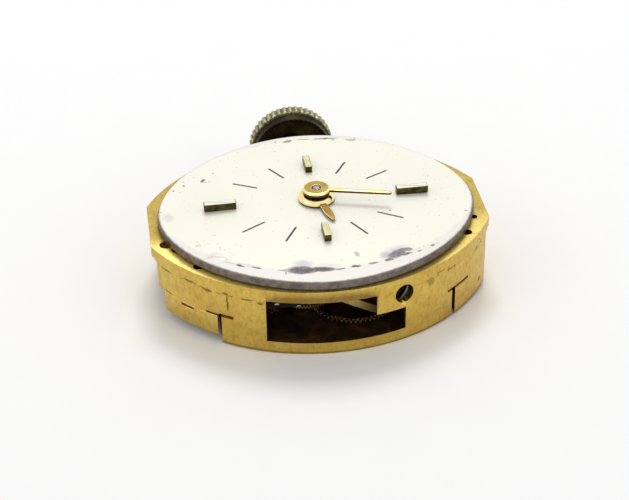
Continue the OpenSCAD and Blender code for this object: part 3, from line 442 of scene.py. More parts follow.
@dataclass(frozen=True)
class SilveredFinish:
    """Silver-white dial, yellowed inside the line of the case's rim and stained along it."""

    name: str = "silvered_dial"
    aged: Rgb = (249, 247, 229)
    kept: Rgb = (240, 235, 226)
    rim: Rgb = (128, 118, 116)
    half: Pair = (7.16, 6.29)
    power: float = 1.86
    shift: Pair = (-0.03, -0.12)
    stain: Rgb = (88, 78, 86)
    veil: Rgb = (196, 190, 198)
    brown: Rgb = (112, 100, 72)
    clean: Rgb = (250, 249, 238)
    bloom: Rgb = (140, 128, 138)
    near_ring: tuple[Pair, float] = ((0, 2.24), 7.72)
    far_ring: tuple[Pair, float] = ((0, -2.2), 7.9)

    near = stains(
        (-1.42, -5.34, 3.76, 0.72, 0.31, -9), (-0.6, -5.42, 3.76, 0.72, 0.19, -7),
        (0.21, -5.52, 3.76, 0.27, 0.07, 6, 0.85), (-2.12, -5.4, 3.74, 0.17, 0.04, -94, 0.6),
        (-2.1, -5.22, 3.75, 0.4, 0.05, -11, 0.6), (0.89, -5.42, 3.76, 0.23, 0.1, 4),
        (1.67, -5.31, 3.75, 0.26, 0.09, 6, 0.75), (2.38, -5.15, 3.75, 0.24, 0.11, 10, 0.9),
        (2.78, -4.78, 3.76, 0.5, 0.27, 29, 0.9), (3.2, -4.5, 3.75, 0.4, 0.14, 0, 0.75),
        (3.16, -4.82, 3.75, 0.34, 0.1, 14, 0.95), (3.79, -4.67, 3.73, 0.14, 0.08, 22, 0.6),
        (4.41, -4.32, 3.73, 0.15, 0.07, 18, 0.75), (4.66, -4.18, 3.72, 0.14, 0.03, 27, 0.45),
        (-5.17, -3.68, 3.72, 0.24, 0.04, 17, 0.5), (-4.78, -3.72, 3.73, 0.24, 0.04, -24, 0.5),
        (-4.46, -3.92, 3.74, 0.38, 0.03, -50, 0.35), (-4.38, -4.24, 3.73, 0.34, 0.04, -33, 0.45),
        (-3.95, -4.53, 3.73, 0.23, 0.07, -33), (-3.27, -4.84, 3.74, 0.28, 0.06, -26, 0.85))
    halo = stains(
        (-1.3, -4.9, 3.78, 0.6, 0.34, -10, 0.75, (1.1, 0.2)),
        (-0.3, -5.2, 3.78, 0.9, 0.22, -8, 0.4, (1.1, 0.2)),
        (2.33, -4.82, 3.76, 0.42, 0.34, 18, 1.0, (1.1, 0.3)),
        (2.85, -4.62, 3.76, 0.8, 0.52, 26, 0.8, (1.1, 0.2)),
        (-3.6, -4.6, 3.74, 0.6, 0.14, -30, 0.4, (1.1, 0.2)), (0.9, -5.4, 3.76, 0.4, 0.16, 4, 0.4, (1.1, 0.2)),
        (-6.7, -0.2, 3.7, 0.3, 0.5, 8, 0.4, (1.1, 0.3)), (-5.0, -3.5, 3.74, 0.4, 0.2, 0, 0.35, (1.1, 0.2)))
    far = stains(
        (-1.13, 5.64, 3.74, 0.06, 0.08, -11, 0.75), (-0.58, 5.62, 3.75, 0.3, 0.1, 11, 0.85),
        (0.24, 5.68, 3.75, 0.44, 0.045, -4, 0.85), (1.22, 5.6, 3.74, 0.68, 0.075, -5),
        (1.58, 5.39, 3.75, 0.1, 0.05, -5, 0.7), (-1.31, 4.73, 3.78, 0.06, 0.04, -11, 0.5),
        (2.44, 5.28, 3.74, 0.3, 0.12, -12, 0.5), (-4.91, 2.66, 3.75, 0.1, 0.18, -28, 0.95),
        (-4.76, 2.5, 3.76, 0.28, 0.08, 1, 0.3), (-5.81, 2.71, 3.72, 0.08, 0.04, 8, 0.6),
        (-5.82, 2.42, 3.72, 0.07, 0.07, -28), (-6.3, 2.06, 3.7, 0.06, 0.07, -34, 0.85),
        (-6.04, 1.86, 3.72, 0.09, 0.04, -60, 0.3), (-5.6, -2.4, 3.73, 0.12, 0.04, -35, 0.3),
        (-5.57, -2.69, 3.73, 0.16, 0.1, 12, 0.3), (1.08, -4.55, 3.79, 0.1, 0.22, 12, 0.5),
        (-4.39, 3.25, 3.76, 0.05, 0.05, 0, 0.7), (6.5, -1.78, 3.7, 0.06, 0.05, 0, 0.9),
        (3.13, -1.42, 3.83, 0.05, 0.05, 0, 0.8), (5.9, -0.7, 3.73, 0.05, 0.04, 0, 0.5),
        (-7.1, 0.36, 3.68, 0.16, 0.03, -12, 0.7), (0.36, -4.9, 3.78, 0.09, 0.04, 20, 0.4))

    def build(self) -> bpy.types.Material:
        """Makes the material."""
        g = Graph(self.name)
        near_line, near_r = g.ring(*self.near_ring, 0.05)
        far_line, far_r = g.ring(*self.far_ring, 0.05)
        wave = g.times(g.minus(g.noise(0.8, detail=3), 0.5), 0.5)
        x, y, _ = g.axes()
        parts = [g.size_of(g.math("DIVIDE", g.minus(value, shift), half))
                 for value, shift, half in ((x, self.shift[0], self.half[0]),
                                            (y, self.shift[1], self.half[1]))]
        fill = g.plus(*(g.math("POWER", part, self.power) for part in parts))
        frayed = g.plus(fill, g.times(g.noise(0.3, detail=6, rough=0.7, seed=29), 0.05))
        rim = g.times(g.step(frayed, 0.985, 1.01, (0, 0.7)), g.step(y, 1.8, -0.6))
        outside = g.most(g.step(g.plus(near_r, wave), 7.62, 7.86),
                         g.step(g.plus(far_r, wave), 7.86, 8.1))
        cloud = g.step(g.noise(2.4, detail=4, seed=2), 0.35, 0.7, (0, 0.5))
        base = g.mix(cloud, self.aged, self.clean)
        base = g.mix(outside, base, self.kept)
        broken = g.step(g.noise(0.35, detail=6, rough=0.7, seed=6), 0.5, 0.66)
        near_side = g.times(near_line, g.step(y, -2.6, -3.6))
        far_side = g.times(far_line, g.step(y, 4.9, 5.4))
        line = g.times(g.most(near_side, far_side), broken)
        speck = g.step(g.noise(0.1, detail=0, seed=21), 0.8, 0.84, (0, 0.5))
        dust = g.step(g.noise(0.35, detail=6, rough=0.8, seed=23), 0.66, 0.8, (0, 0.16))
        base = g.mix(g.most(speck, dust), base, self.brown)
        base = g.mix(blots(g, self.far, 0.1), base, self.brown)
        patch = g.noise(0.16, detail=4, rough=0.6, seed=25)
        base = g.mix(blots(g, self.halo, 0.12), base, self.veil)
        dark = g.most(g.times(line, 0.4), blots(g, self.near, 0.07))
        tone = g.mix(g.step(patch, 0.42, 0.7), self.stain, self.bloom)
        base = g.mix(rim, g.mix(dark, base, tone), self.rim)
        rough = g.step(g.plus(dark, g.times(patch, 0.2)), 0.0, 1.0, (0.34, 0.6))
        height = g.minus(g.times(g.noise(0.03, detail=2, seed=27), 0.3), g.times(dark, 0.4))
        return g.surface(Base_Color=base, Metallic=0.0, Roughness=rough, Coat_Weight=0.25,
                         Coat_Roughness=0.12,
                         Normal=g.bump(height, 0.003, 0.5))


@dataclass(frozen=True)
class MetalFinish:
    """Worked metal: two tones, grain, and roughness that follows the grain."""

    name: str
    tone: Rgb
    other: Rgb
    roughness: Pair
    size: float = 0.12
    grain: Triple = (1, 1, 1)
    grime: float = 0.0
    grime_tone: Rgb = (40, 32, 18)
    depth: float = 0.003
    metallic: float = 1.0
    core: float = 0.0
    core_tone: Rgb = (22, 18, 16)

    def build(self) -> bpy.types.Material:
        """Makes the material."""
        g = Graph(self.name)
        soft = g.noise(self.size * 6, detail=4, seed=2)
        grain = g.noise(self.size, stretch=self.grain, detail=4, rough=0.6, seed=5)
        tone = g.mix(g.step(soft, 0.32, 0.68), self.tone, self.other)
        dirt = g.step(g.noise(self.size * 2, detail=6, rough=0.75, seed=8), 0.5, 0.72, (0, self.grime))
        tone = g.mix(dirt, tone, self.grime_tone)
        if self.core:
            x, y, _ = g.axes()
            outside = g.step(g.distance(x, y), self.core - 0.015, self.core + 0.015)
            tone = g.mix(outside, tone, self.core_tone)
        rough = g.step(g.plus(grain, g.times(dirt, 0.5)), 0.25, 1.0, self.roughness)
        return g.surface(Base_Color=tone, Metallic=self.metallic, Roughness=rough,
                         Normal=g.bump(grain, self.depth, 0.6))


@dataclass(frozen=True)
class CrownFinish:
    """Worn olive plating: bright from wear and painted highlight on the knurls' crests and the near rim, dark
    grime in their valleys.
    """

    name: str = "worn_crown"
    axis_z: float = 1.6
    crest_r: float = 2.1
    near: float = 8.65
    tone: Rgb = (132, 129, 90)
    other: Rgb = (106, 103, 66)
    worn: Rgb = (190, 186, 150)
    grime: Rgb = (70, 64, 38)

    def build(self) -> bpy.types.Material:
        """Makes the material."""
        g = Graph(self.name)
        x, y, z = g.axes()
        r = g.distance(x, g.minus(z, self.axis_z))
        tone = g.mix(g.step(g.noise(0.3, detail=4), 0.35, 0.65), self.tone, self.other)
        # Crests and near rim: worn plating and painted highlight.
        crest_wear_and_highlight = g.step(r, self.crest_r - 0.05, self.crest_r - 0.005, (0, 0.5))
        lip_wear_and_highlight = g.times(g.step(y, self.near + 0.2, self.near + 0.06),
                      g.step(g.noise(0.16, detail=2, seed=4), 0.4, 0.6))
        tone = g.mix(g.most(crest_wear_and_highlight, lip_wear_and_highlight), tone, self.worn)
        valley = g.step(r, self.crest_r - 0.04, self.crest_r - 0.11, (0, 0.9))
        band = g.times(valley, g.step(y, self.near + 0.72, self.near + 0.6))
        dirt = g.most(band, g.step(g.noise(0.2, detail=6, rough=0.75, seed=8), 0.52, 0.72, (0, 0.6)))
        tone = g.mix(dirt, tone, self.grime)
        rough = g.step(g.plus(g.noise(0.08, detail=3), g.times(dirt, 0.5)), 0.25, 1.0, (0.32, 0.6))
        return g.surface(Base_Color=tone, Metallic=1.0, Roughness=rough,
                         Normal=g.bump(g.noise(0.07, detail=3), 0.006, 0.6))


@dataclass(frozen=True)
class StoneFinish:
    """Clear red synthetic stone, polished, with a faint cloud inside."""

    name: str = "ruby"
    light: Rgb = (120, 8, 34)
    deep: Rgb = (70, 2, 16)

    def build(self) -> bpy.types.Material:
        """Makes the material."""
        g = Graph(self.name)
        tone = g.mix(g.step(g.noise(0.25, detail=3), 0.35, 0.7), self.light, self.deep)
        rough = g.step(g.noise(0.06, detail=2, seed=2), 0.3, 0.8, (0.03, 0.12))
        return g.surface(Base_Color=tone, Roughness=rough, Transmission_Weight=0.35, IOR=1.76,
                         Coat_Weight=0.4)


@dataclass(frozen=True)
class InkFinish:
    """Dark grey printing ink, slightly uneven."""

    name: str = "hour_line_ink"
    tone: Rgb = (14, 12, 10)
    worn: Rgb = (40, 36, 32)

    def build(self) -> bpy.types.Material:
        """Makes the material."""
        g = Graph(self.name)
        tone = g.mix(g.step(g.noise(0.09, detail=3), 0.3, 0.75), self.tone, self.worn)
        return g.surface(Base_Color=tone, Roughness=g.step(g.noise(0.05), 0.3, 0.7, (0.4, 0.6)))


@dataclass
class Finishes:
    """All materials of the movement, each made once."""

    made: dict[str, bpy.types.Material] = field(default_factory=dict)

    side_marks = (
        Blot((-4.61, -5.02, 2.2), (0.045, 0.2, 0.5), 0, 0.9), Blot((-4.68, -4.98, 2.66), (0.16, 0.2, 0.07), 0,
                                                                   0.85),
        Blot((-7.02, -2.6, 2.56), (0.3, 0.5, 0.06), 0, 0.7), Blot((-6.1, -3.75, 2.66), (0.35, 0.5, 0.06), 0,
                                                                  0.75),
        Blot((-5.4, -4.43, 2.56), (0.22, 0.5, 0.09), 0, 0.8), Blot((-3.85, -5.5, 2.6), (0.3, 0.4, 0.05), 0,
                                                                   0.7),
        Blot((-3.3, -5.72, 2.5), (0.14, 0.4, 0.07), 0, 0.8), Blot((-7.0, -2.7, 1.42), (0.3, 0.4, 0.05), 0,
                                                                  0.6),
        Blot((4.2, -5.28, 2.5), (0.2, 0.4, 0.24), 0, 0.5), Blot((5.1, -4.68, 2.62), (0.06, 0.3, 0.12), 0,
                                                                0.8),
        Blot((5.42, -4.44, 2.6), (0.05, 0.3, 0.12), 0, 0.8), Blot((4.7, -4.98, 2.75), (0.4, 0.3, 0.04), 0,
                                                                  0.6),
        Blot((7.0, -2.66, 0.57), (0.09, 0.3, 0.14), 0, 0.8), Blot((6.7, -3.1, 2.5), (0.25, 0.3, 0.1), 0, 0.4))

    def build(self) -> None:
        """Makes every finish once, under a plain name."""
        rows: dict[str, Any] = {
            "gilt": GiltFinish("matt_gilt", marks=self.side_marks),
            "gilt_edge": GiltFinish("gilt_edge", gold=(232, 208, 116), warm=(224, 192, 100),
                                    pale=(244, 230, 164),
                                    roughness=(0.26, 0.4), tarnish_share=0.45),
            # The flange's top faces, with painted light towards the near side.
            "gilt_top": GiltFinish("gilt_top", gold=(172, 152, 82), warm=(162, 138, 66), pale=(190, 172, 106),
                                   grain=(1, 1, 1), roughness=(0.55, 0.7), tarnish_share=0.5,
                                   front=(252, 230, 142)),
            "ledge": GiltFinish("gilt_ledge", gold=(232, 206, 130), warm=(222, 190, 110),
                                pale=(240, 220, 160),
                                grain=(1, 1, 1), roughness=(0.3, 0.45), tarnish_share=0.3),
            "gilt_back": GiltFinish("gilt_bridges", grain=(14, 1, 1), tarnish_share=0.35),
            # Painted shade on the enclosed inside, with copper-coloured grooves near the long sides.
            "inside": ShadeFinish(grooves=True),
            # The window's inner wall: painted shade, darker than the inside, with three painted glints
            # standing for the balance screws.
            "wall": ShadeFinish("wall_in_window_painted_shade_glints", (16, 11, 7), (34, 22, 12),
                                painted_glints=(Blot((-2.49, -5.04, 1.9), (0.12, 0.3, 0.045)),
                                                          Blot((-1.56, -5.04, 1.68), (0.12, 0.3, 0.05)),
                                                          Blot((-0.98, -5.04, 1.76), (0.2, 0.3, 0.012), 0,
                                                               0.6))),
            "copper": ShadeFinish("copper_groove", (150, 98, 44), (214, 158, 84), 0.4, 0.25),
            "slit": ShadeFinish("slit_wall", (60, 24, 12), (120, 62, 28), 0.3, 0.3),
            "wheel": MetalFinish("wheel_brass", (204, 168, 92), (176, 138, 66), (0.2, 0.42), 0.05, (1, 1, 6),
                                 0.4),
            # A darker copy of the wheel brass: painted shade for the wheels deep in the window.
            "wheel_dim": MetalFinish("wheel_brass_painted_shade", (168, 134, 74), (128, 98, 50), (0.3, 0.5), 0.05,
                                     (1, 1, 6), 0.5),
            "wheel_edge": MetalFinish("wheel_brass_edge", (236, 208, 140), (214, 178, 100), (0.14, 0.3),
                                      0.05),
            # Near-white painted highlight, given to the third wheel's bevels as bright tooth tips.
            "tooth": MetalFinish("wheel_tooth_painted_highlight", (246, 236, 206), (232, 214, 166), (0.2, 0.4), 0.05),
            "barrel": MetalFinish("barrel_brass", (196, 158, 78), (170, 130, 58), (0.24, 0.44), 0.06,
                                  (1, 1, 8), 0.3),
            "steel": MetalFinish("polished_steel", (176, 176, 178), (150, 150, 154), (0.12, 0.28), 0.06,
                                 (6, 1, 1), 0.12),
            "steel_edge": MetalFinish("polished_steel_edge", (206, 206, 208), (184, 184, 188), (0.1, 0.2),
                                      0.05),
            "pinion": MetalFinish("pinion_steel", (236, 232, 222), (214, 210, 200), (0.1, 0.22), 0.05),
            "post": MetalFinish("post_steel", (150, 138, 138), (128, 116, 116), (0.35, 0.5), 0.06, (1, 1, 1),
                                0.2, core=0.145),
            "spring": MetalFinish("spring_steel", (120, 128, 146), (92, 98, 116), (0.18, 0.34), 0.05,
                                  (8, 1, 1), 0.1),
            "dark": MetalFinish("dark_screw_steel", (22, 17, 14), (34, 24, 18), (0.22, 0.4), 0.08, (1, 1, 5),
                                0.3),
            # A light band on the dark screw heads: painted highlight.
            "dark_highlight": MetalFinish("dark_screw_painted_highlight", (120, 110, 106), (84, 74, 70), (0.2, 0.36), 0.08,
                                     (1, 1, 5), 0.3),
            "hand": MetalFinish("hand_satin_gilt", (156, 138, 76), (138, 116, 56), (0.3, 0.42), 0.08,
                                (1, 1, 1), 0.16,
                                (110, 76, 26), 0.0015),
            "hand_leaf": MetalFinish("hand_leaf_gilt", (134, 108, 54), (116, 90, 40), (0.4, 0.55), 0.08,
                                     (1, 1, 1), 0.2,
                                     (84, 56, 20), 0.002),
            "hand_pale": MetalFinish("hand_pale_gilt", (226, 208, 148), (214, 190, 122), (0.25, 0.35), 0.1,
                                     (1, 1, 1), 0.1,
                                     (150, 100, 40), 0.001),
            # Near-white painted highlight on the hands' rolled bevels and upper edges.
            "hand_highlight": MetalFinish("hand_painted_highlight_gilt", (254, 242, 186), (240, 220, 146), (0.1, 0.2),
                                       0.12, (1, 1, 1),
                                       0.14, (150, 96, 30), 0.002),
            "hand_shade": MetalFinish("hand_shaded_gilt", (92, 62, 20), (64, 42, 14), (0.22, 0.36), 0.1,
                                      (1, 1, 1), 0.3,
                                      (44, 26, 10), 0.002),
            "marker_top": MetalFinish("marker_top", (252, 250, 240), (244, 242, 226), (0.08, 0.16), 0.07,
                                      (1, 1, 1), 0.05),
            "marker_side": MetalFinish("marker_side", (92, 84, 46), (58, 50, 24), (0.3, 0.5), 0.05, (6, 1, 1),
                                       0.5),
            "marker_matt": MetalFinish("marker_matt_top", (184, 178, 140), (164, 158, 116), (0.34, 0.5), 0.05,
                                       (1, 1, 1), 0.15),
            "crown": CrownFinish(),
            "crown_ring": MetalFinish("crown_ring", (46, 34, 20), (30, 23, 16), (0.34, 0.52), 0.1, (1, 1, 1),
                                      0.75,
                                      (34, 24, 16), 0.01),
            "crown_hollow": MetalFinish("crown_hollow", (74, 68, 52), (48, 44, 34), (0.5, 0.7), 0.1,
                                        (1, 1, 1), 0.5,
                                        (8, 8, 6), 0.008),
            "dial": SilveredFinish(),
            "dial_edge": MetalFinish("dial_edge", (128, 118, 110), (98, 90, 84), (0.36, 0.6), 0.05, (1, 1, 3),
                                     0.35, (70, 60, 52), 0.004),
            "dial_back": MetalFinish("dial_back", (150, 142, 128), (124, 116, 104), (0.4, 0.6), 0.08,
                                     (6, 1, 1), 0.2),
            "ruby": StoneFinish(),
            "ink": InkFinish()}
        self.made = {key: row.build() for key, row in rows.items()}

    def __getitem__(self, key: str) -> bpy.types.Material:
        """The material of a plain name."""
        return self.made[key]

    def several(self, *keys: str) -> list[bpy.types.Material]:
        """Materials of several plain names, in order."""
        return [self.made[key] for key in keys]


# --- Shapes: surfaces worked out as whole arrays ---


class Shell:
    """Points and faces of one piece, gathered from several surfaces."""

    def __init__(self) -> None:
        """Starts with nothing."""
        self.points: list[Array] = []
        self.faces: list[list[int]] = []
        self.slots: list[int] = []

    def add(self, grid: Array, wrap_rows: bool = False, wrap_columns: bool = True,
            slot: int | Array = 0) -> "Shell":
        """Adds a surface given as a grid: each cell between four neighbouring points becomes one face.

        Args:
            grid: Points in rows and columns, three numbers each, in millimetres.
            wrap_rows: Whether the last row joins the first.
            wrap_columns: Whether the last column joins the first.
            slot: Material of the faces: one for all, one for each row, or a table that fits rows and columns.

        Returns:
            The shell itself.
        """
        rows, columns, _ = grid.shape
        index = sum(len(p) for p in self.points) + np.arange(rows * columns).reshape(rows, columns)
        corners = [index, np.roll(index, -1, 0), np.roll(np.roll(index, -1, 0), -1, 1), np.roll(index, -1, 1)]
        kept = [c[: rows if wrap_rows else rows - 1, : columns if wrap_columns else columns - 1]
                for c in corners]
        cells = np.stack(kept, -1)
        self.points.append(grid.reshape(-1, 3))
        self.faces += cells.reshape(-1, 4).tolist()
        bands = np.asarray(slot)
        bands = bands[:, None] if bands.ndim == 1 else bands
        self.slots += np.broadcast_to(bands, cells.shape[:2]).ravel().tolist()
        return self

    def cap(self, loop: Array, slot: int = 0) -> "Shell":
        """Closes a loop of points with one flat face."""
        start = sum(len(p) for p in self.points)
        self.points.append(loop)
        self.faces.append(list(range(start, start + len(loop))))
        self.slots.append(slot)
        return self

    def join(self, other: "Shell") -> "Shell":
        """Takes over the points and faces of another shell."""
        start = sum(len(p) for p in self.points)
        self.faces += [[start + i for i in face] for face in other.faces]
        self.points += other.points
        self.slots += other.slots
        return self

    def mesh(self, name: str) -> bpy.types.Mesh:
        """Makes the mesh: merged seams, no flat slivers, faces outwards.

        Args:
            name: Name of the mesh.

        Returns:
            The mesh in metres.
        """
        mesh = bpy.data.meshes.new(name)
        mesh.from_pydata((np.concatenate(self.points) * MM).tolist(), [], self.faces)
        mesh.polygons.foreach_set("material_index", np.asarray(self.slots, np.int32))
        work = bmesh.new()
        work.from_mesh(mesh)
        bmesh.ops.remove_doubles(work, verts=work.verts, dist=1e-8)
        bmesh.ops.dissolve_degenerate(work, edges=work.edges, dist=1e-8)
        bmesh.ops.recalc_face_normals(work, faces=work.faces)
        self.face_outwards(work)
        work.to_mesh(mesh)
        work.free()
        return mesh

    @staticmethod
    def face_outwards(work: bmesh.types.BMesh) -> None:
        """Turns the faces of each closed part of a mesh that encloses a negative volume."""
        waiting = set(work.faces)
        while waiting:
            part, front = set(), {waiting.pop()}
            while front:
                part |= front
                front = {face for near in front for edge in near.edges for face in edge.link_faces} - part
            waiting -= part
            volume = sum(face.calc_center_median().dot(face.normal) * face.calc_area() for face in part)
            if volume < 0 and all(edge.is_manifold for face in part for edge in face.edges):
                bmesh.ops.reverse_faces(work, faces=list(part))


@dataclass
class Piece:
    """One finished piece: its mesh, finishes, body and the CAD nodes that it stands for."""

    name: str
    mesh: bpy.types.Mesh
    finishes: list[bpy.types.Material]
    body: str
    slot: str
    stands_for: tuple[str, ...] = ()
    sharp: float = 32.0

    def place(self) -> bpy.types.Object:
        """Puts the piece into the scene and ties it to its body.

        Returns:
            The object, at the origin.
        """
        for material in self.finishes:
            self.mesh.materials.append(material)
        self.mesh.shade_smooth()
        self.mesh.set_sharp_from_angle(angle=math.radians(self.sharp))
        made = bpy.data.objects.new(self.name, self.mesh)
        bpy.context.scene.collection.objects.link(made)
        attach(made, self.body)
        if self.stands_for:
            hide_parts(*self.stands_for)
        LOG.info("%s: %d faces on %s", self.name, len(self.mesh.polygons), self.body)
        return made


def rounded(points: Sequence[Pair], radius: float | Sequence[float], steps: int = 5,
            closed: bool = True) -> Array:
    """Rounds the corners of a line of points.

    Each corner p gives way to the curve (1-t)^2 a + 2t(1-t) p + t^2 b, where a and b lie at the
    radius from p along its two sides, or at 45% of a shorter side.

    Args:
        points: Corners of the line.
        radius: Size of the rounding, for all corners or each one.
        steps: Points on each rounded corner.
        closed: Whether the line closes on itself; if not, its ends stay.

    Returns:
        The rounded line.
    """
    p = np.asarray(points, float)
    before, after = np.roll(p, 1, 0) - p, np.roll(p, -1, 0) - p
    r = np.broadcast_to(np.asarray(radius, float), (len(p),))[:, None]
    size_b, size_a = np.linalg.norm(before, axis=1, keepdims=True), np.linalg.norm(after, axis=1,
                                                                                   keepdims=True)
    a = p + before / size_b * np.minimum(r, size_b * 0.45)
    b = p + after / size_a * np.minimum(r, size_a * 0.45)
    t = np.linspace(0, 1, steps)[None, :, None]
    curve = (1 - t) ** 2 * a[:, None] + 2 * t * (1 - t) * p[:, None] + t**2 * b[:, None]
    if closed:
        return curve.reshape(-1, 2)
    return np.concatenate([p[:1], curve[1:-1].reshape(-1, 2), p[-1:]])


def turned(profile: Array, steps: int = 96, centre: Pair = (0, 0)) -> Array:
    """Carries a profile of radius and height round a vertical axis.

    The point at angle a is centre + r (cos a, sin a), at the profile's height.

    Args:
        profile: Radius and height of each point.
        steps: Points round the axis.
        centre: Place of the axis.

    Returns:
        A grid with one row for each point of the profile.
    """
    angle = np.linspace(0, 2 * np.pi, steps, endpoint=False)
    r, z = profile[:, :1], profile[:, 1:]
    return np.stack([centre[0] + r * np.cos(angle), centre[1] + r * np.sin(angle),
                     np.broadcast_to(z, (len(profile), steps))], -1)


def carried(outline: Array, levels: Sequence[Pair]) -> Array:
    """Carries an outline upwards, drawn in by an inset at each level.

    Each point moves against the outline's normal there, the mean of its two sides' normals.

    Args:
        outline: Points in plan, counter-clockwise.
        levels: Inset and height of each row.

    Returns:
        A grid with one row for each level.
    """
    side = np.roll(outline, -1, 0) - np.roll(outline, 1, 0)
    normal = np.stack([side[:, 1], -side[:, 0]], -1)
    normal /= np.maximum(np.linalg.norm(normal, axis=1, keepdims=True), 1e-12)
    return np.stack([np.column_stack([outline - normal * inset, np.full(len(outline), z)]) for inset,
                     z in levels])


def spun(points: Array, degrees: float) -> Array:
    """Turns points about the hand axis."""
    c, s = math.cos(math.radians(degrees)), math.sin(math.radians(degrees))
    return points @ np.array([[c, s, 0], [-s, c, 0], [0, 0, 1.0]])


def depth(point: Vector) -> float:
    """How far a point lies inside the movement's outer walls, in millimetres."""
    out = max(math.hypot(point.x, point.y - ARC_Y), math.hypot(point.x, point.y + ARC_Y))
    return min(SIDE_R - out, HALF_LEN - abs(point.x))


@dataclass(frozen=True)
class Area:
    """Faces of a copy with a finish of their own: in a box, of a depth, and facing a direction."""

    finish: str
    low: Triple
    high: Triple
    facing: Triple = (0, 0, 0)
    deep: Pair = (-9, 99)

    def holds(self, point: Vector, normal: Vector) -> bool:
        """Whether a face at this point belongs to the area."""
        boxed = all(a <= v <= b for a, v, b in zip(self.low, point, self.high))
        faces = not any(self.facing) or normal.dot(Vector(self.facing)) > 0.9
        return boxed and faces and self.deep[0] < depth(point) < self.deep[1]


@dataclass(frozen=True)
class Room:
    """The closed inside of the movement, deeper than its outer walls and between two heights, whose faces
    take painted shade.
    """

    finish: str = "inside"
    least: float = 0.33
    low: float = 0.5
    high: float = 3.1

    def holds(self, point: Vector, normal: Vector) -> bool:
        """Whether a face at this point belongs to the inside."""
        return depth(point) > self.least and self.low < point.z < self.high


GROOVE = (0.03, 0.36)
SLITS = tuple(Area("slit", (x - 0.1, -9, -1), (x + 0.1, 9, 1.5), (side, 0, 0)) for x in (-4.97, 5.43)
              for side in (-1, 1))
COCK_SLOT = Area("copper", (-6.7, -9, 1.1), (-5.8, 0, 1.35), deep=GROOVE)
PLATE_AREAS = (
    Area("gilt_top", (-9, -9, 3.15), (9, 9, 3.3), (0, 0, 1)),
    Area("copper", (-7.3, -2.0, 2.6), (-6.55, -1.25, 3.21)),
    Area("slit", (-6.85, -2.4, 2.6), (-6.15, -1.8, 3.21)),
    Area("slit", (-6.0, -3.85, 2.6), (-5.35, -3.25, 3.21)), Area("slit", (6.7, -1.8, 2.6), (7.1, -1.4, 3.21)),
    Area("slit", (6.08, -3.05, 2.6), (6.58, -2.55, 3.21)),
    Area("copper", (-5.6, -9, 1.1), (-4.3, 0, 1.6), deep=GROOVE),
    Area("copper", (5.0, -9, 1.1), (6.4, 0, 1.6), deep=GROOVE),
    Area("ledge", (0.3, -6.35, 1.6), (1.75, -4.9, 2.15), (-0.62, -0.78, 0)),
    # The window's inner wall, which takes painted shade and painted glints.
    Area("wall", (-3.3, -5.1, 1.5), (2.6, -4.98, 2.75), (0, -1, 0)))


def worked_copy(node: str, edge: float, areas: Sequence[Area | Room] = ()) -> bpy.types.Mesh:
    """Copies a CAD node's mesh and breaks its sharp outer edges with a small real bevel.

    Args:
        node: Name of the CAD node.
        edge: Width of the bevel in millimetres.
        areas: Areas with finishes of their own; a face goes to the first that holds it.

    Returns:
        The mesh: material 0 on faces, 1 on bevels, then one for each area.
    """
    source = frame["nodes"][node].data
    work = bmesh.new()
    work.from_mesh(source)
    bmesh.ops.remove_doubles(work, verts=work.verts, dist=2e-7)
    bmesh.ops.dissolve_limit(work, angle_limit=math.radians(0.8), verts=work.verts, edges=work.edges)
    # Faces with painted shade, inside and on the window's wall, get no bevel.
    painted_shade_slots = {2 + k for k, area in enumerate(areas) if area.finish in ("inside", "wall")}
    for face in work.faces:
        point = face.calc_center_median() / MM
        face.material_index = next((2 + k for k, area in enumerate(areas) if area.holds(point, face.normal)),
                                   0)
    reach = 1.6 * edge * MM
    tight = {v for v in work.verts if min((e.calc_length() for e in v.link_edges), default=1) < reach}
    chosen = [e for e in work.edges
              if e.is_manifold and e.is_convex and e.calc_face_angle(0) > math.radians(32)
              and not (e.verts[0] in tight or e.verts[1] in tight)
              and not any(f.material_index in painted_shade_slots for f in e.link_faces)]
    if chosen and edge:
        bmesh.ops.bevel(work, geom=chosen, offset=edge * MM, offset_type="OFFSET", segments=2, profile=0.6,
                        affect="EDGES", clamp_overlap=True, material=1)
    mesh = bpy.data.meshes.new(f"{node}_worked")
    work.to_mesh(mesh)
    work.free()
    return mesh


# --- Sub-assemblies ---


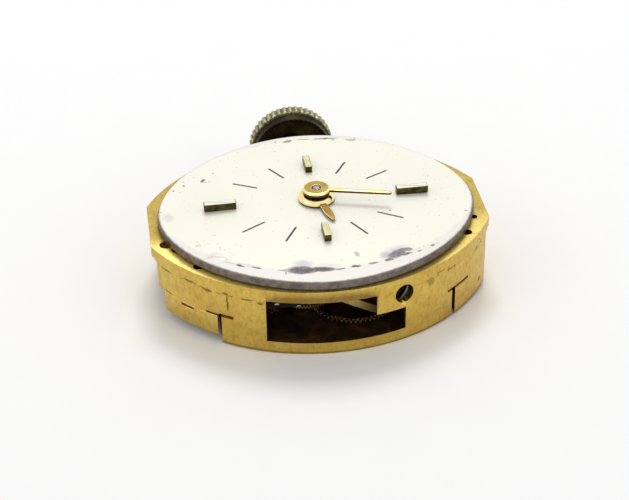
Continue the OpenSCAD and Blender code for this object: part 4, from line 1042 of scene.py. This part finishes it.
@dataclass
class DialWork:
    """Domed dial, its printed hour lines and applied markers."""

    finishes: Finishes
    half_len: float = 7.16
    half_wid: float = 6.29
    power: float = 1.86
    shift: Pair = (-0.03, -0.12)
    dome_r: float = 133.0
    top: float = 3.87
    thick: float = 0.37
    seat_z: float = 3.235
    hole_r: float = 0.58
    edge_round: float = 0.12
    line_w: float = 0.1
    line_t: float = 0.008
    round_steps: int = 540
    across_steps: int = 70
    below_steps: int = 24
    foot_r: float = 0.25
    foot_end: float = 2.06
    lines: tuple[tuple[float, float, float], ...] = (
        (30, 2.885, 4.165), (-30, 2.885, 4.165), (150, 2.885, 4.165), (-150, 2.885, 4.165),
        (60, 2.4, 3.63), (-60, 2.4, 3.63), (120, 2.4, 3.63), (-120, 2.4, 3.63))
    markers: tuple[tuple[float, ...], ...] = (
        (0, 3.64, 5.09, 0.36, 0.32), (180, 3.64, 5.09, 0.36, 0.32), (90, 2.39, 3.47, 0.31, 0.31),
        (-90, 2.39, 3.47, 0.31, 0.31))
    foot: Pair = (2.549, -4.835)

    def height(self, r: Array | float) -> Array:
        """Height of the dome at a distance from the axis: z = top - R + sqrt(R^2 - r^2)."""
        return self.top - self.dome_r + np.sqrt(self.dome_r**2 - np.asarray(r, float) ** 2)

    def reach(self, angle: Array) -> Array:
        """Outline's distance at an angle: (|cos/a|^n + |sin/b|^n) to the power -1/n."""
        n = self.power
        along, across = np.abs(np.cos(angle) / self.half_len), np.abs(np.sin(angle) / self.half_wid)
        return (along**n + across**n) ** (-1 / n)

    def disc(self) -> Shell:
        """The dial: a section of dome, rounded rim, wall and underside, carried round from hole to outline.

        Every point of the section has a share of the way from the hole to the outline, an inset and a drop.

        Returns:
            The shell with material 0 on top, 1 on the rim wall and 2 below.
        """
        angle = np.linspace(0, 2 * np.pi, self.round_steps, endpoint=False)
        arc = np.linspace(0, np.pi / 2, 7)[1:]
        e, many, few = self.edge_round, self.across_steps, self.below_steps
        top = np.column_stack([np.linspace(0, 1, many), np.zeros(many), np.zeros(many)])
        top[-1] = (1, e, 0)
        rim = np.column_stack([np.ones(6), e * (1 - np.sin(arc)), e * (1 - np.cos(arc))])
        wall = np.column_stack([np.ones(5), np.zeros(5), np.linspace(e, self.thick - 0.04, 6)[1:]])
        low = np.column_stack([np.linspace(1, 0, few), np.zeros(few), np.full(few, self.thick)])
        low[0, 1] = 0.04
        section = np.concatenate([top, rim, wall, low])
        share, inset, drop = (section[:, k][:, None] for k in range(3))
        outline = self.reach(angle)[None, :] - inset
        x, y = (self.hole_r * c + (s + outline * c - self.hole_r * c) * share
                for c, s in ((np.cos(angle), self.shift[0]), (np.sin(angle), self.shift[1])))
        z = self.height(np.hypot(x, y)) - drop
        z = np.where(drop > 0.3, np.maximum(z, self.seat_z), z)
        slots = np.repeat([0, 1, 2], [many + 1, 10, few])[: len(section)]
        shell = Shell().add(np.stack([x, y, z], -1), wrap_rows=True, slot=slots)
        base = float(self.height(math.hypot(*self.foot))) - self.thick + 0.01
        profile = rounded([(0, self.foot_end), (self.foot_r, self.foot_end), (self.foot_r, base), (0, base)],
                          0.03, closed=False)
        for sign in (-1, 1):
            shell.add(turned(profile, 40, (sign * self.foot[0], sign * self.foot[1])), slot=2)
        return shell

    def hour_lines(self) -> Shell:
        """Printed lines: thin low bars that follow the dome, with rounded tops.

        The section is half an ellipse over the line's width, carried along each line's radius.
        """
        shell = Shell()
        along = np.linspace(0, 1, 26)[:, None]
        around = np.linspace(0, 2 * np.pi, 12, endpoint=False)[None, :]
        fade = np.sqrt(np.clip(1 - (2 * along - 1) ** 24, 0, 1))
        for turn, inner, outer in self.lines:
            r = inner + (outer - inner) * along + 0 * around
            side = self.line_w / 2 * np.cos(around) * fade
            z = self.height(r) + self.line_t * np.sin(around) * fade
            shell.add(spun(np.stack([r, side, z], -1), turn))
        return shell

    def batons(self) -> Shell:
        """Applied markers: bevelled bars standing on two posts each.

        Material 0 is on the sides, 1 on the polished tops and 2 on the matt tops.
        """
        shell = Shell()
        for index, (turn, inner, outer, width, high) in enumerate(self.markers):
            base = float(self.height(inner)) + 0.01
            bevel, top_slot = (0.035, 1) if index < 2 else (0.024, 2)
            half = width / 2
            outline = rounded([(inner, -half), (outer, -half), (outer, half), (inner, half)], 0.02, 4)
            levels = [(0.012, base), (0, base + 0.012), (0, base + high - bevel),
                      (bevel * 0.45, base + high - bevel * 0.25), (bevel, base + high)]
            grid = carried(outline, levels)
            grid = spun(grid, turn)
            shell.add(grid, slot=np.array([0, 0, 0, 0 if index < 2 else top_slot]))
            shell.cap(grid[0][::-1], 0).cap(grid[-1], top_slot)
            for sign in (-1, 1):
                place = np.array([(inner + outer) / 2 + sign * (outer - inner) * 0.3, 0, 0])
                place = spun(place[None, :], turn)[0]
                profile = np.array([(0, base - 0.34), (0.07, base - 0.34), (0.07, base - 0.001),
                                    (0, base - 0.001)])
                shell.add(turned(profile, 24, (place[0], place[1])), slot=0)
        return shell

    def build(self) -> None:
        """Makes and places the dial's pieces."""
        f = self.finishes
        Piece("dial_disc", self.disc().mesh("dial_disc"), f.several("dial", "dial_edge", "dial_back"),
              Body.FRAME.value,
              Slot.DIAL.value, ("dial",), 40).place()
        Piece("hour_lines", self.hour_lines().mesh("hour_lines"), f.several("ink"), Body.FRAME.value,
              Slot.DIAL.value).place()
        Piece("applied_markers", self.batons().mesh("applied_markers"),
              f.several("marker_side", "marker_top", "marker_matt"),
              Body.FRAME.value, Slot.MARKER.value, ("hour_markers",), 12).place()


@dataclass
class Hands:
    """Hour hand with a leaf blade and minute hand with a slim one, each on its bush."""

    finishes: Finishes
    hour_z: float = 3.93
    minute_z: float = 4.25
    hour_angle: float = -76.2
    minute_angle: float = -14.4
    hour_len: float = 2.1
    minute_len: float = 3.4

    @staticmethod
    def blade(stations: Sequence[Triple], z: float, turn: float) -> tuple[Array, Array]:
        """A blade along a radius: a flat bar with rounded edges whose width and height follow the stations.

        The section at distance r is w(r) |cos v|^0.45 across and h(r) |sin v|^0.4 up, half of it above and
        half below the middle, and both shrink at the ends.

        Args:
            stations: Distance from the axis, half width and thickness there.
            z: Height of its underside.
            turn: Angle of the blade in degrees.

        Returns:
            A grid with one row for each place along the blade, and the material of each column: 0 on top,
            1 on the upper edge, 2 on the sides and below.
        """
        table = np.asarray(stations, float)
        share = np.linspace(0, 1, 72)
        r = table[0, 0] + (table[-1, 0] - table[0, 0]) * share
        width, thick = (np.interp(r, table[:, 0], table[:, k]) for k in (1, 2))
        ends = np.sqrt(np.clip(1 - np.abs(2 * share - 1) ** 60, 0, 1))
        v = np.linspace(0, 2 * np.pi, 28, endpoint=False)
        across = np.sign(np.cos(v)) * np.abs(np.cos(v)) ** 0.45
        upward = np.sign(np.sin(v)) * np.abs(np.sin(v)) ** 0.4
        y = (width * ends)[:, None] * across
        height = z + (thick * 0.5)[:, None] * (1 + ends[:, None] * upward)
        middle = (upward + np.roll(upward, -1)) / 2
        slots = np.where(middle > 0.88, 0, np.where(middle > 0.6, 1, 2))
        grid = spun(np.stack([np.broadcast_to(r[:, None], y.shape), y, height], -1), turn)
        return grid, slots[None, :]

    def minute(self) -> Shell:
        """Minute hand: flat-topped bush that closes in over the cannon pinion's end, and a slim bar."""
        z = self.minute_z
        bush = rounded([(0.312, z), (0.54, z), (0.6, z + 0.04), (0.63, z + 0.1), (0.63, z + 0.16),
                        (0.575, z + 0.242),
                        (0.545, z + 0.25), (0.235, z + 0.25), (0.22, z + 0.245), (0.22, z + 0.236),
                        (0.312, z + 0.236)],
                       0.02, 5)
        r, up = bush[:, 0], bush[:, 1] - z
        slots = np.where((up > 0.248) & (r > 0.24), 0, np.where(up > 0.15, 1, 2))
        shell = Shell().add(turned(bush, 96), wrap_rows=True, slot=slots)
        bar = [(0.5, 0.1, 0.15), (0.9, 0.11, 0.14), (2.0, 0.112, 0.14), (3.2, 0.108, 0.13),
               (3.34, 0.085, 0.12),
               (self.minute_len, 0.03, 0.1)]
        grid, sides = self.blade(bar, z + 0.07, self.minute_angle)
        return shell.add(grid, slot=np.where(sides == 0, 3, sides))

    def hour(self) -> Shell:
        """Hour hand: bush with a broad rolled slope over the hour pipe that carries a painted highlight, a
        block, and a leaf blade.
        """
        z = self.hour_z
        roll = np.linspace(-0.28, 0.5, 15) * np.pi
        edge = [(0.56 + 0.27 * math.cos(a), z + 0.06 + 0.2 * math.sin(a)) for a in roll]
        bush = rounded([(0.352, z + 0.2), (0.468, z + 0.18), (0.472, z - 0.05), (0.66, z - 0.09), *edge,
                        (0.352, z + 0.262)], 0.008, 2)
        r, up = bush[:, 0], bush[:, 1] - z
        slots = np.where((up > 0.04) & (r > 0.6), 1, np.where(up > 0.25, 0, 2))
        shell = Shell().add(turned(bush, 96), wrap_rows=True, slot=slots)
        leaf = [(0.6, 0.17, 0.16), (0.95, 0.185, 0.15), (1.0, 0.18, 0.11), (1.4, 0.195, 0.105),
                (1.7, 0.17, 0.1),
                (1.9, 0.12, 0.09), (2.02, 0.075, 0.08), (self.hour_len, 0.03, 0.06)]
        grid, sides = self.blade(leaf, z + 0.005, self.hour_angle)
        return shell.add(grid, slot=np.where(sides == 0, 4, sides))

    def build(self) -> None:
        """Makes and places both hands."""
        # Slot 1 takes the painted highlight and slot 2 the painted shade of the sides.
        gilt = self.finishes.several("hand", "hand_highlight", "hand_shade", "hand_pale", "hand_leaf")
        Piece("hour_hand_gilt", self.hour().mesh("hour_hand_gilt"), gilt, Body.HOUR.value, Slot.HAND.value,
              ("hour_hand",), 50).place()
        Piece("minute_hand_gilt", self.minute().mesh("minute_hand_gilt"), gilt, Body.MINUTE.value,
              Slot.HAND.value,
              ("minute_hand",), 50).place()


@dataclass
class CrownWork:
    """Knurled crown with a hollow inner side and a ring round its neck."""

    finishes: Finishes
    axis_z: float = 1.6
    near: float = 8.65
    knurls: int = 44
    knurl_depth: float = 0.08

    def surface(self) -> Shell:
        """The crown: a profile of radius and length turned about the stem, with knurls cut into its rim.

        A knurl's valley is deepest where cos(k a) = -1, as depth (1/2 - cos(k a)/2)^1.5, and it fades in
        over the rim's two shoulders. The neck's end is notched in the same rhythm.

        Returns:
            The shell with material 0 on the rim, 1 on the neck and 2 in the hollow.
        """
        y0 = self.near
        corners = [(0, y0 + 1.0), (0.27, y0 + 1.0), (0.27, y0 + 0.2), (0.62, y0 + 0.2), (0.62, y0 + 0.5),
                   (1.76, y0 + 0.5),
                   (1.76, y0 - 0.5), (1.9, y0 - 0.5), (1.93, y0 - 0.02), (2.03, y0), (2.1, y0 + 0.07),
                   (2.1, y0 + 0.34),
                   (2.1, y0 + 0.57), (2.01, y0 + 0.63), (1.83, y0 + 0.86), (1.42, y0 + 1.12),
                   (0.8, y0 + 1.26), (0, y0 + 1.3)]
        line = rounded(corners, 0.05, 6, closed=False)
        columns = self.knurls * 12
        angle = np.linspace(0, 2 * np.pi, columns, endpoint=False)
        r, y = line[:, :1], line[:, 1:]
        valley = (0.5 - 0.5 * np.cos(self.knurls * angle))[None, :] ** 1.5
        rim = np.clip((r - 1.96) / 0.07, 0, 1) * np.clip((y0 + 0.74 - y) / 0.12, 0, 1)
        ring = np.clip(1 - np.abs(r - 1.84) / 0.1, 0, 1) * (y < y0 - 0.35)
        bore = (np.abs(r - 1.76) < 0.06) * (y < y0 + 0.2)
        radius = r - self.knurl_depth * rim * valley - 0.1 * bore * valley
        length = y + 0.06 * ring * valley
        grid = np.stack([radius * np.cos(angle), np.broadcast_to(length, radius.shape),
                         self.axis_z + radius * np.sin(angle)], -1)
        middle = (line[:-1] + line[1:]) / 2
        slots = np.where(middle[:, 0] > 1.95, 0, np.where(middle[:, 0] > 1.765, 1, 2))
        slots = np.where(middle[:, 1] > y0 + 0.55, 0, slots)
        slots[: np.argmax(middle[:, 0] > 1.765)] = 2
        return Shell().add(grid, slot=slots.astype(int))

    def build(self) -> None:
        """Makes and places the crown."""
        Piece("crown_knurled", self.surface().mesh("crown_knurled"),
              self.finishes.several("crown", "crown_ring", "crown_hollow"),
              Body.STEM.value, Slot.CROWN.value, ("crown",), 45).place()


@dataclass
class Springs:
    """Hairspring and mainspring as even flat blades."""

    finishes: Finishes
    balance: Pair = (-4.0812, -1.2447)
    barrel: Pair = (3.6351, 0.6803)
    hair: tuple[float, ...] = (0.27, 1.5, 10, 0.025, 0.85, 0.92)
    main: tuple[float, ...] = (0.8, 2.8, 9, 0.08, 1.12, 2.07)

    @staticmethod
    def blade(centre: Pair, inner: float, outer: float, turns: float, width: float, low: float,
              high: float) -> Shell:
        """A flat blade wound in a spiral whose radius grows evenly with its angle.

        Args:
            centre: Axis of the spiral.
            inner: Radius at its start.
            outer: Radius at its end.
            turns: Number of turns.
            width: Thickness of the blade in plan.
            low: Height of its lower edge.
            high: Height of its upper edge.

        Returns:
            The closed shell.
        """
        count = int(turns * 84) + 1
        angle = np.linspace(0, 2 * np.pi * turns, count)[:, None]
        radius = inner + (outer - inner) * angle / (2 * np.pi * turns)
        w, c = width / 2, min(width * 0.22, (high - low) * 0.2)
        section = np.array([(-w, low + c), (-w + c, low), (w - c, low), (w, low + c), (w, high - c),
                            (w - c, high), (-w + c, high), (-w, high - c)])
        r = radius + section[:, 0][None, :]
        z = np.broadcast_to(section[:, 1][None, :], r.shape)
        grid = np.stack([centre[0] + r * np.cos(angle), centre[1] + r * np.sin(angle), z], -1)
        return Shell().add(grid).cap(grid[0][::-1]).cap(grid[-1])

    def build(self) -> None:
        """Makes and places both springs."""
        steel = self.finishes.several("spring")
        hair = self.blade(self.balance, *self.hair)
        Piece("hairspring_blade", hair.mesh("hairspring_blade"), steel, Body.FRAME.value, Slot.SPRING.value,
              ("hairspring",)).place()
        main = self.blade(self.barrel, *self.main)
        Piece("mainspring_blade", main.mesh("mainspring_blade"), steel, Body.BARREL.value, Slot.SPRING.value,
              ("mainspring",)).place()


@dataclass
class FootScrews:
    """The two dark screws that hold the dial's feet, domed and slotted, in the plate's long sides."""

    finishes: Finishes
    wall: Pair = (2.93, -5.867)
    height: float = 2.41
    head_r: float = 0.42
    slot_turn: float = -38.0
    slot_w: float = 0.1

    def screw(self, sign: int) -> Shell:
        """One screw: a profile of radius and depth turned about its axis, with a slot pressed into the dome.

        The dome lies at -0.07 - 0.13 (r/R)^3, and the slot lowers it by 0.1 exp(-(d/w)^4), where d is the
        distance from the slot's middle line.

        Args:
            sign: 1 for the near screw, -1 for the far one.

        Returns:
            The closed shell with material 0 on the head and 1 on a band beside the slot that carries a
            painted highlight.
        """
        share = np.linspace(0, 1, 46)
        top = np.column_stack([self.head_r * share, -0.07 - 0.13 * share**3])
        rest = np.array([(self.head_r, -0.3), (self.head_r - 0.03, -0.4), (0.2, -0.4), (0.2, -0.8),
                         (0.17, -0.84), (0, -0.84)])
        line = np.concatenate([top, rest])
        angle = np.linspace(0, 2 * np.pi, 120, endpoint=False)
        u, v = line[:, :1] * np.cos(angle), line[:, :1] * np.sin(angle)
        c, s = math.cos(math.radians(self.slot_turn)), math.sin(math.radians(self.slot_turn))
        away = v * c - u * s
        on_top = (np.arange(len(line)) < len(top))[:, None]
        depth = line[:, 1:] - on_top * 0.1 * np.exp(-((away + 0.1) / (self.slot_w / 2)) ** 4)
        out = np.array([self.wall[0], self.wall[1] - ARC_Y])
        out /= np.linalg.norm(out)
        x = sign * (self.wall[0] + depth * out[0] - v * out[1])
        y = sign * (self.wall[1] + depth * out[1] + v * out[0])
        grid = np.stack([x, y, self.height - u], -1)
        # The band beside the slot that takes the painted highlight.
        worn = on_top & (np.abs(away - 0.045) < 0.045) & (np.hypot(u, v) < self.head_r * 0.9)
        return Shell().add(grid, slot=worn[:-1].astype(int))

    def build(self) -> None:
        """Makes and places both screws as one piece."""
        shell = self.screw(1).join(self.screw(-1))
        Piece("dial_foot_screws", shell.mesh("dial_foot_screws"), self.finishes.several("dark", "dark_highlight"),
              Body.FRAME.value,
              Slot.DARK.value, ("dial_screws",), 60).place()


@dataclass(frozen=True)
class Work:
    """How some CAD nodes are dressed: each one's bevel width, the finishes, and the areas that differ."""

    nodes: dict[str, float]
    faces: str = "steel"
    edges: str = "steel_edge"
    slot: Slot = Slot.STEEL
    areas: tuple["Area | Room", ...] = ()


@dataclass
class MetalWork:
    """Plate, bridges, wheels, screws and stones, taken from the CAD solids with real edge bevels."""

    finishes: Finishes

    worked = (
        Work({"main_plate": 0.03}, "gilt", "gilt_edge", Slot.GILT, (*PLATE_AREAS, Room())),
        Work({"train_bridge": 0.03, "barrel_bridge": 0.03}, "gilt", "gilt_edge", Slot.GILT, (*SLITS, Room())),
        Work({"balance_cock": 0.03}, "gilt", "gilt_edge", Slot.GILT, (*SLITS, COCK_SLOT)),
        Work({"pallet_cock": 0.012}, "gilt_back", "gilt_edge", Slot.GILT),
        Work({"bridge_screws": 0.025, "crown_wheel_screw": 0.025, "ratchet_screw": 0.025,
              "click_screws": 0.012,
              "keyless_screws": 0.014, "crown_wheel": 0.014, "ratchet_wheel": 0.014, "click": 0.014}),
        Work({"click_spring": 0.01}, "spring", "steel_edge", Slot.SPRING),
        Work({"regulator": 0.014, "hairspring_stud": 0.01}),
        Work({"balance_wheel": 0.018, "balance_screws": 0.01, "centre_wheel": 0.008}, "wheel", "wheel_edge",
             Slot.WHEEL),
        # Third and fourth wheels: brass darkened as painted shade; the third wheel's bevels carry a painted
        # highlight.
        Work({"third_wheel": 0.008}, "wheel_dim", "tooth", Slot.WHEEL),
        Work({"fourth_wheel": 0.008}, "wheel_dim", "wheel_dim", Slot.WHEEL),
        Work({"barrel_drum": 0.014, "barrel_cover": 0.014}, "barrel", "wheel_edge", Slot.BARREL),
        Work({"barrel_arbor": 0.01}),
        Work({"hour_wheel": 0.01, "minute_wheel": 0.01}, "wheel", "wheel_edge", Slot.WHEEL),
        Work({"cannon_pinion": 0.012}),
        Work({"centre_pinion": 0.012}, areas=(Area("post", (-0.21, -0.21, 4.515), (0.21, 0.21, 4.6)),)),
        Work({"winding_stem": 0.014, "winding_pinion": 0.01, "sliding_pinion": 0.0, "pallet_fork": 0.006}),
        Work({"yoke_spring": 0.006}, "spring", "steel_edge", Slot.SPRING),
        Work({"setting_lever": 0.014, "yoke": 0.014, "setting_wheel": 0.01}),
        Work({"bridge_jewels": 0.014, "plate_jewels": 0.014, "balance_cap_jewels": 0.02}, "ruby", "ruby",
             Slot.RUBY))
    plain = {
        "steel": ("pallet_cock_screws", "escape_wheel", "third_pinion", "pallet_arbor", "balance_staff",
                  "roller"),
        "pinion": ("escape_pinion", "fourth_pinion"),
        "ruby": ("pallet_stones", "impulse_jewel"),
        "wheel": ("collet", "dial_washer"),
        "spring": ("setting_lever_spring",)}

    def build(self) -> None:
        """Makes the worked copies, and gives the other nodes their finish."""
        for work in self.worked:
            finishes = self.finishes.several(work.faces, work.edges, *(area.finish for area in work.areas))
            for node, edge in work.nodes.items():
                body = body_of(frame["nodes"][node])[0]
                mesh = worked_copy(node, edge, work.areas)
                Piece(f"{node}_worked", mesh, finishes, body, work.slot.value, (node,)).place()
        for finish, nodes in self.plain.items():
            for node in nodes:
                item = frame["nodes"][node]
                item.data.materials.clear()
                item.data.materials.append(self.finishes[finish])
                LOG.info("%s: %s", node, finish)


@dataclass(frozen=True)
class Studio:
    """Pale floor, soft lamps, white surroundings and the photograph's viewpoint."""

    focal_px: float = 1598.64
    width_px: float = 629.0
    sensor: float = 36.0
    elevation: float = 33.623
    azimuth: float = -7.862
    distance: float = 72.049
    aside: float = 0.0893
    above: float = 2.2884
    roll: float = -0.919
    dial_top: float = 3.87
    front: Pair = (-6.39, 0.0)
    crown_foot: Pair = (9.2, -0.5)
    ambient: float = 0.65
    lamps: tuple[tuple[str, Triple, float, float], ...] = (
        ("back_softbox", (0.03, 0.2, 0.29), 0.12, 0.43),
        ("left_softbox", (-0.26, -0.08, 0.2), 0.2, 0.06),
        ("right_softbox", (0.22, -0.2, 0.16), 0.16, 0.04))

    def camera(self) -> None:
        """Places the camera as solved from the dial's outline and printed lines."""
        el, az, roll = (math.radians(v) for v in (self.elevation, self.azimuth, self.roll))
        back = np.array([math.sin(az) * math.cos(el), -math.cos(az) * math.cos(el), math.sin(el)])
        right = np.array([math.cos(az), math.sin(az), 0.0])
        up = np.cross(back, right)
        across = right * math.cos(roll) + up * math.sin(roll)
        upward = -right * math.sin(roll) + up * math.cos(roll)
        place = back * self.distance - across * self.aside - upward * self.above
        place[2] += self.dial_top
        data = bpy.data.cameras.new("camera")
        data.sensor_width = self.sensor
        data.lens = self.sensor * self.focal_px / self.width_px
        data.clip_start, data.clip_end = 0.002, 20.0
        camera = bpy.data.objects.new("camera", data)
        turn = Matrix([list(row) for row in np.column_stack([across, upward, back])]).to_4x4()
        camera.matrix_world = Matrix.Translation(Vector(place * MM)) @ turn
        bpy.context.scene.collection.objects.link(camera)
        bpy.context.scene.camera = camera

    def floor(self) -> None:
        """A wide floor under the front edge and the crown's rim, on which the movement leans a little."""
        (y0, z0), (y1, z1) = self.front, self.crown_foot
        slope = (z1 - z0) / (y1 - y0)
        side = np.linspace(-900, 900, 7)
        x, y = np.meshgrid(side, side, indexing="ij")
        z = z0 + slope * (y - y0) - 0.004
        mesh = Shell().add(np.stack([x, y, z], -1), wrap_columns=False).mesh("floor")
        g = Graph("pale_floor")
        tone = g.mix(g.step(g.noise(2.5, detail=5), 0.3, 0.7), (254, 254, 254), (255, 255, 255))
        mesh.materials.append(g.surface(Base_Color=tone, Roughness=0.8, Specular_IOR_Level=0.1,
                                        Normal=g.bump(g.noise(0.3, detail=3), 0.01, 0.1)))
        floor = bpy.data.objects.new("floor", mesh)
        bpy.context.scene.collection.objects.link(floor)

    @staticmethod
    def lamp(name: str, place: Triple, size: float, power: float) -> None:
        """A square soft lamp aimed at the movement.

        Args:
            name: Name of the lamp.
            place: Its place in metres.
            size: Side of the square in metres.
            power: Power in watts.
        """
        data = bpy.data.lights.new(name, "AREA")
        data.shape, data.size, data.energy = "SQUARE", size, power
        item = bpy.data.objects.new(name, data)
        item.location = place
        item.rotation_euler = (-Vector(place)).to_track_quat("-Z", "Y").to_euler()
        bpy.context.scene.collection.objects.link(item)

    def world(self) -> None:
        """White to the camera and in reflections, and a plain level as light."""
        world = bpy.data.worlds.new("surroundings")
        bpy.context.scene.world = world
        world.use_nodes = True
        tree = world.node_tree
        tree.nodes.clear()
        path, seen, light, blend, output = (tree.nodes.new(f"ShaderNode{kind}") for kind in (
            "LightPath", "Background", "Background", "MixShader", "OutputWorld"))
        for node, strength in ((seen, 1.0), (light, self.ambient)):
            node.inputs["Color"].default_value = (1, 1, 1, 1)
            node.inputs["Strength"].default_value = strength
        direct = path.outputs["Is Camera Ray"]
        for kind in ("Is Glossy Ray", "Is Transmission Ray"):
            either = tree.nodes.new("ShaderNodeMath")
            either.operation = "MAXIMUM"
            tree.links.new(direct, either.inputs[0])
            tree.links.new(path.outputs[kind], either.inputs[1])
            direct = either.outputs[0]
        for source, target in ((direct, blend.inputs[0]), (light.outputs[0], blend.inputs[1]),
                               (seen.outputs[0], blend.inputs[2]),
                               (blend.outputs[0], output.inputs["Surface"])):
            tree.links.new(source, target)

    def build(self) -> None:
        """Sets up the whole studio."""
        self.camera()
        self.floor()
        self.world()
        for row in self.lamps:
            self.lamp(*row)
        bpy.context.scene.view_settings.view_transform = "Standard"


def write_sizes() -> None:
    """Updates the view layer.
    """
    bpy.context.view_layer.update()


def main() -> None:
    """Builds the studio and every sub-assembly in order."""
    logging.basicConfig(level=logging.INFO, format="%(name)s: %(message)s")
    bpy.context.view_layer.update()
    Studio().build()
    finishes = Finishes()
    finishes.build()
    for part in (DialWork(finishes), Hands(finishes), CrownWork(finishes), Springs(finishes),
                 FootScrews(finishes),
                 MetalWork(finishes)):
        part.build()
    write_sizes()


if __name__ == "__main__":
    main()
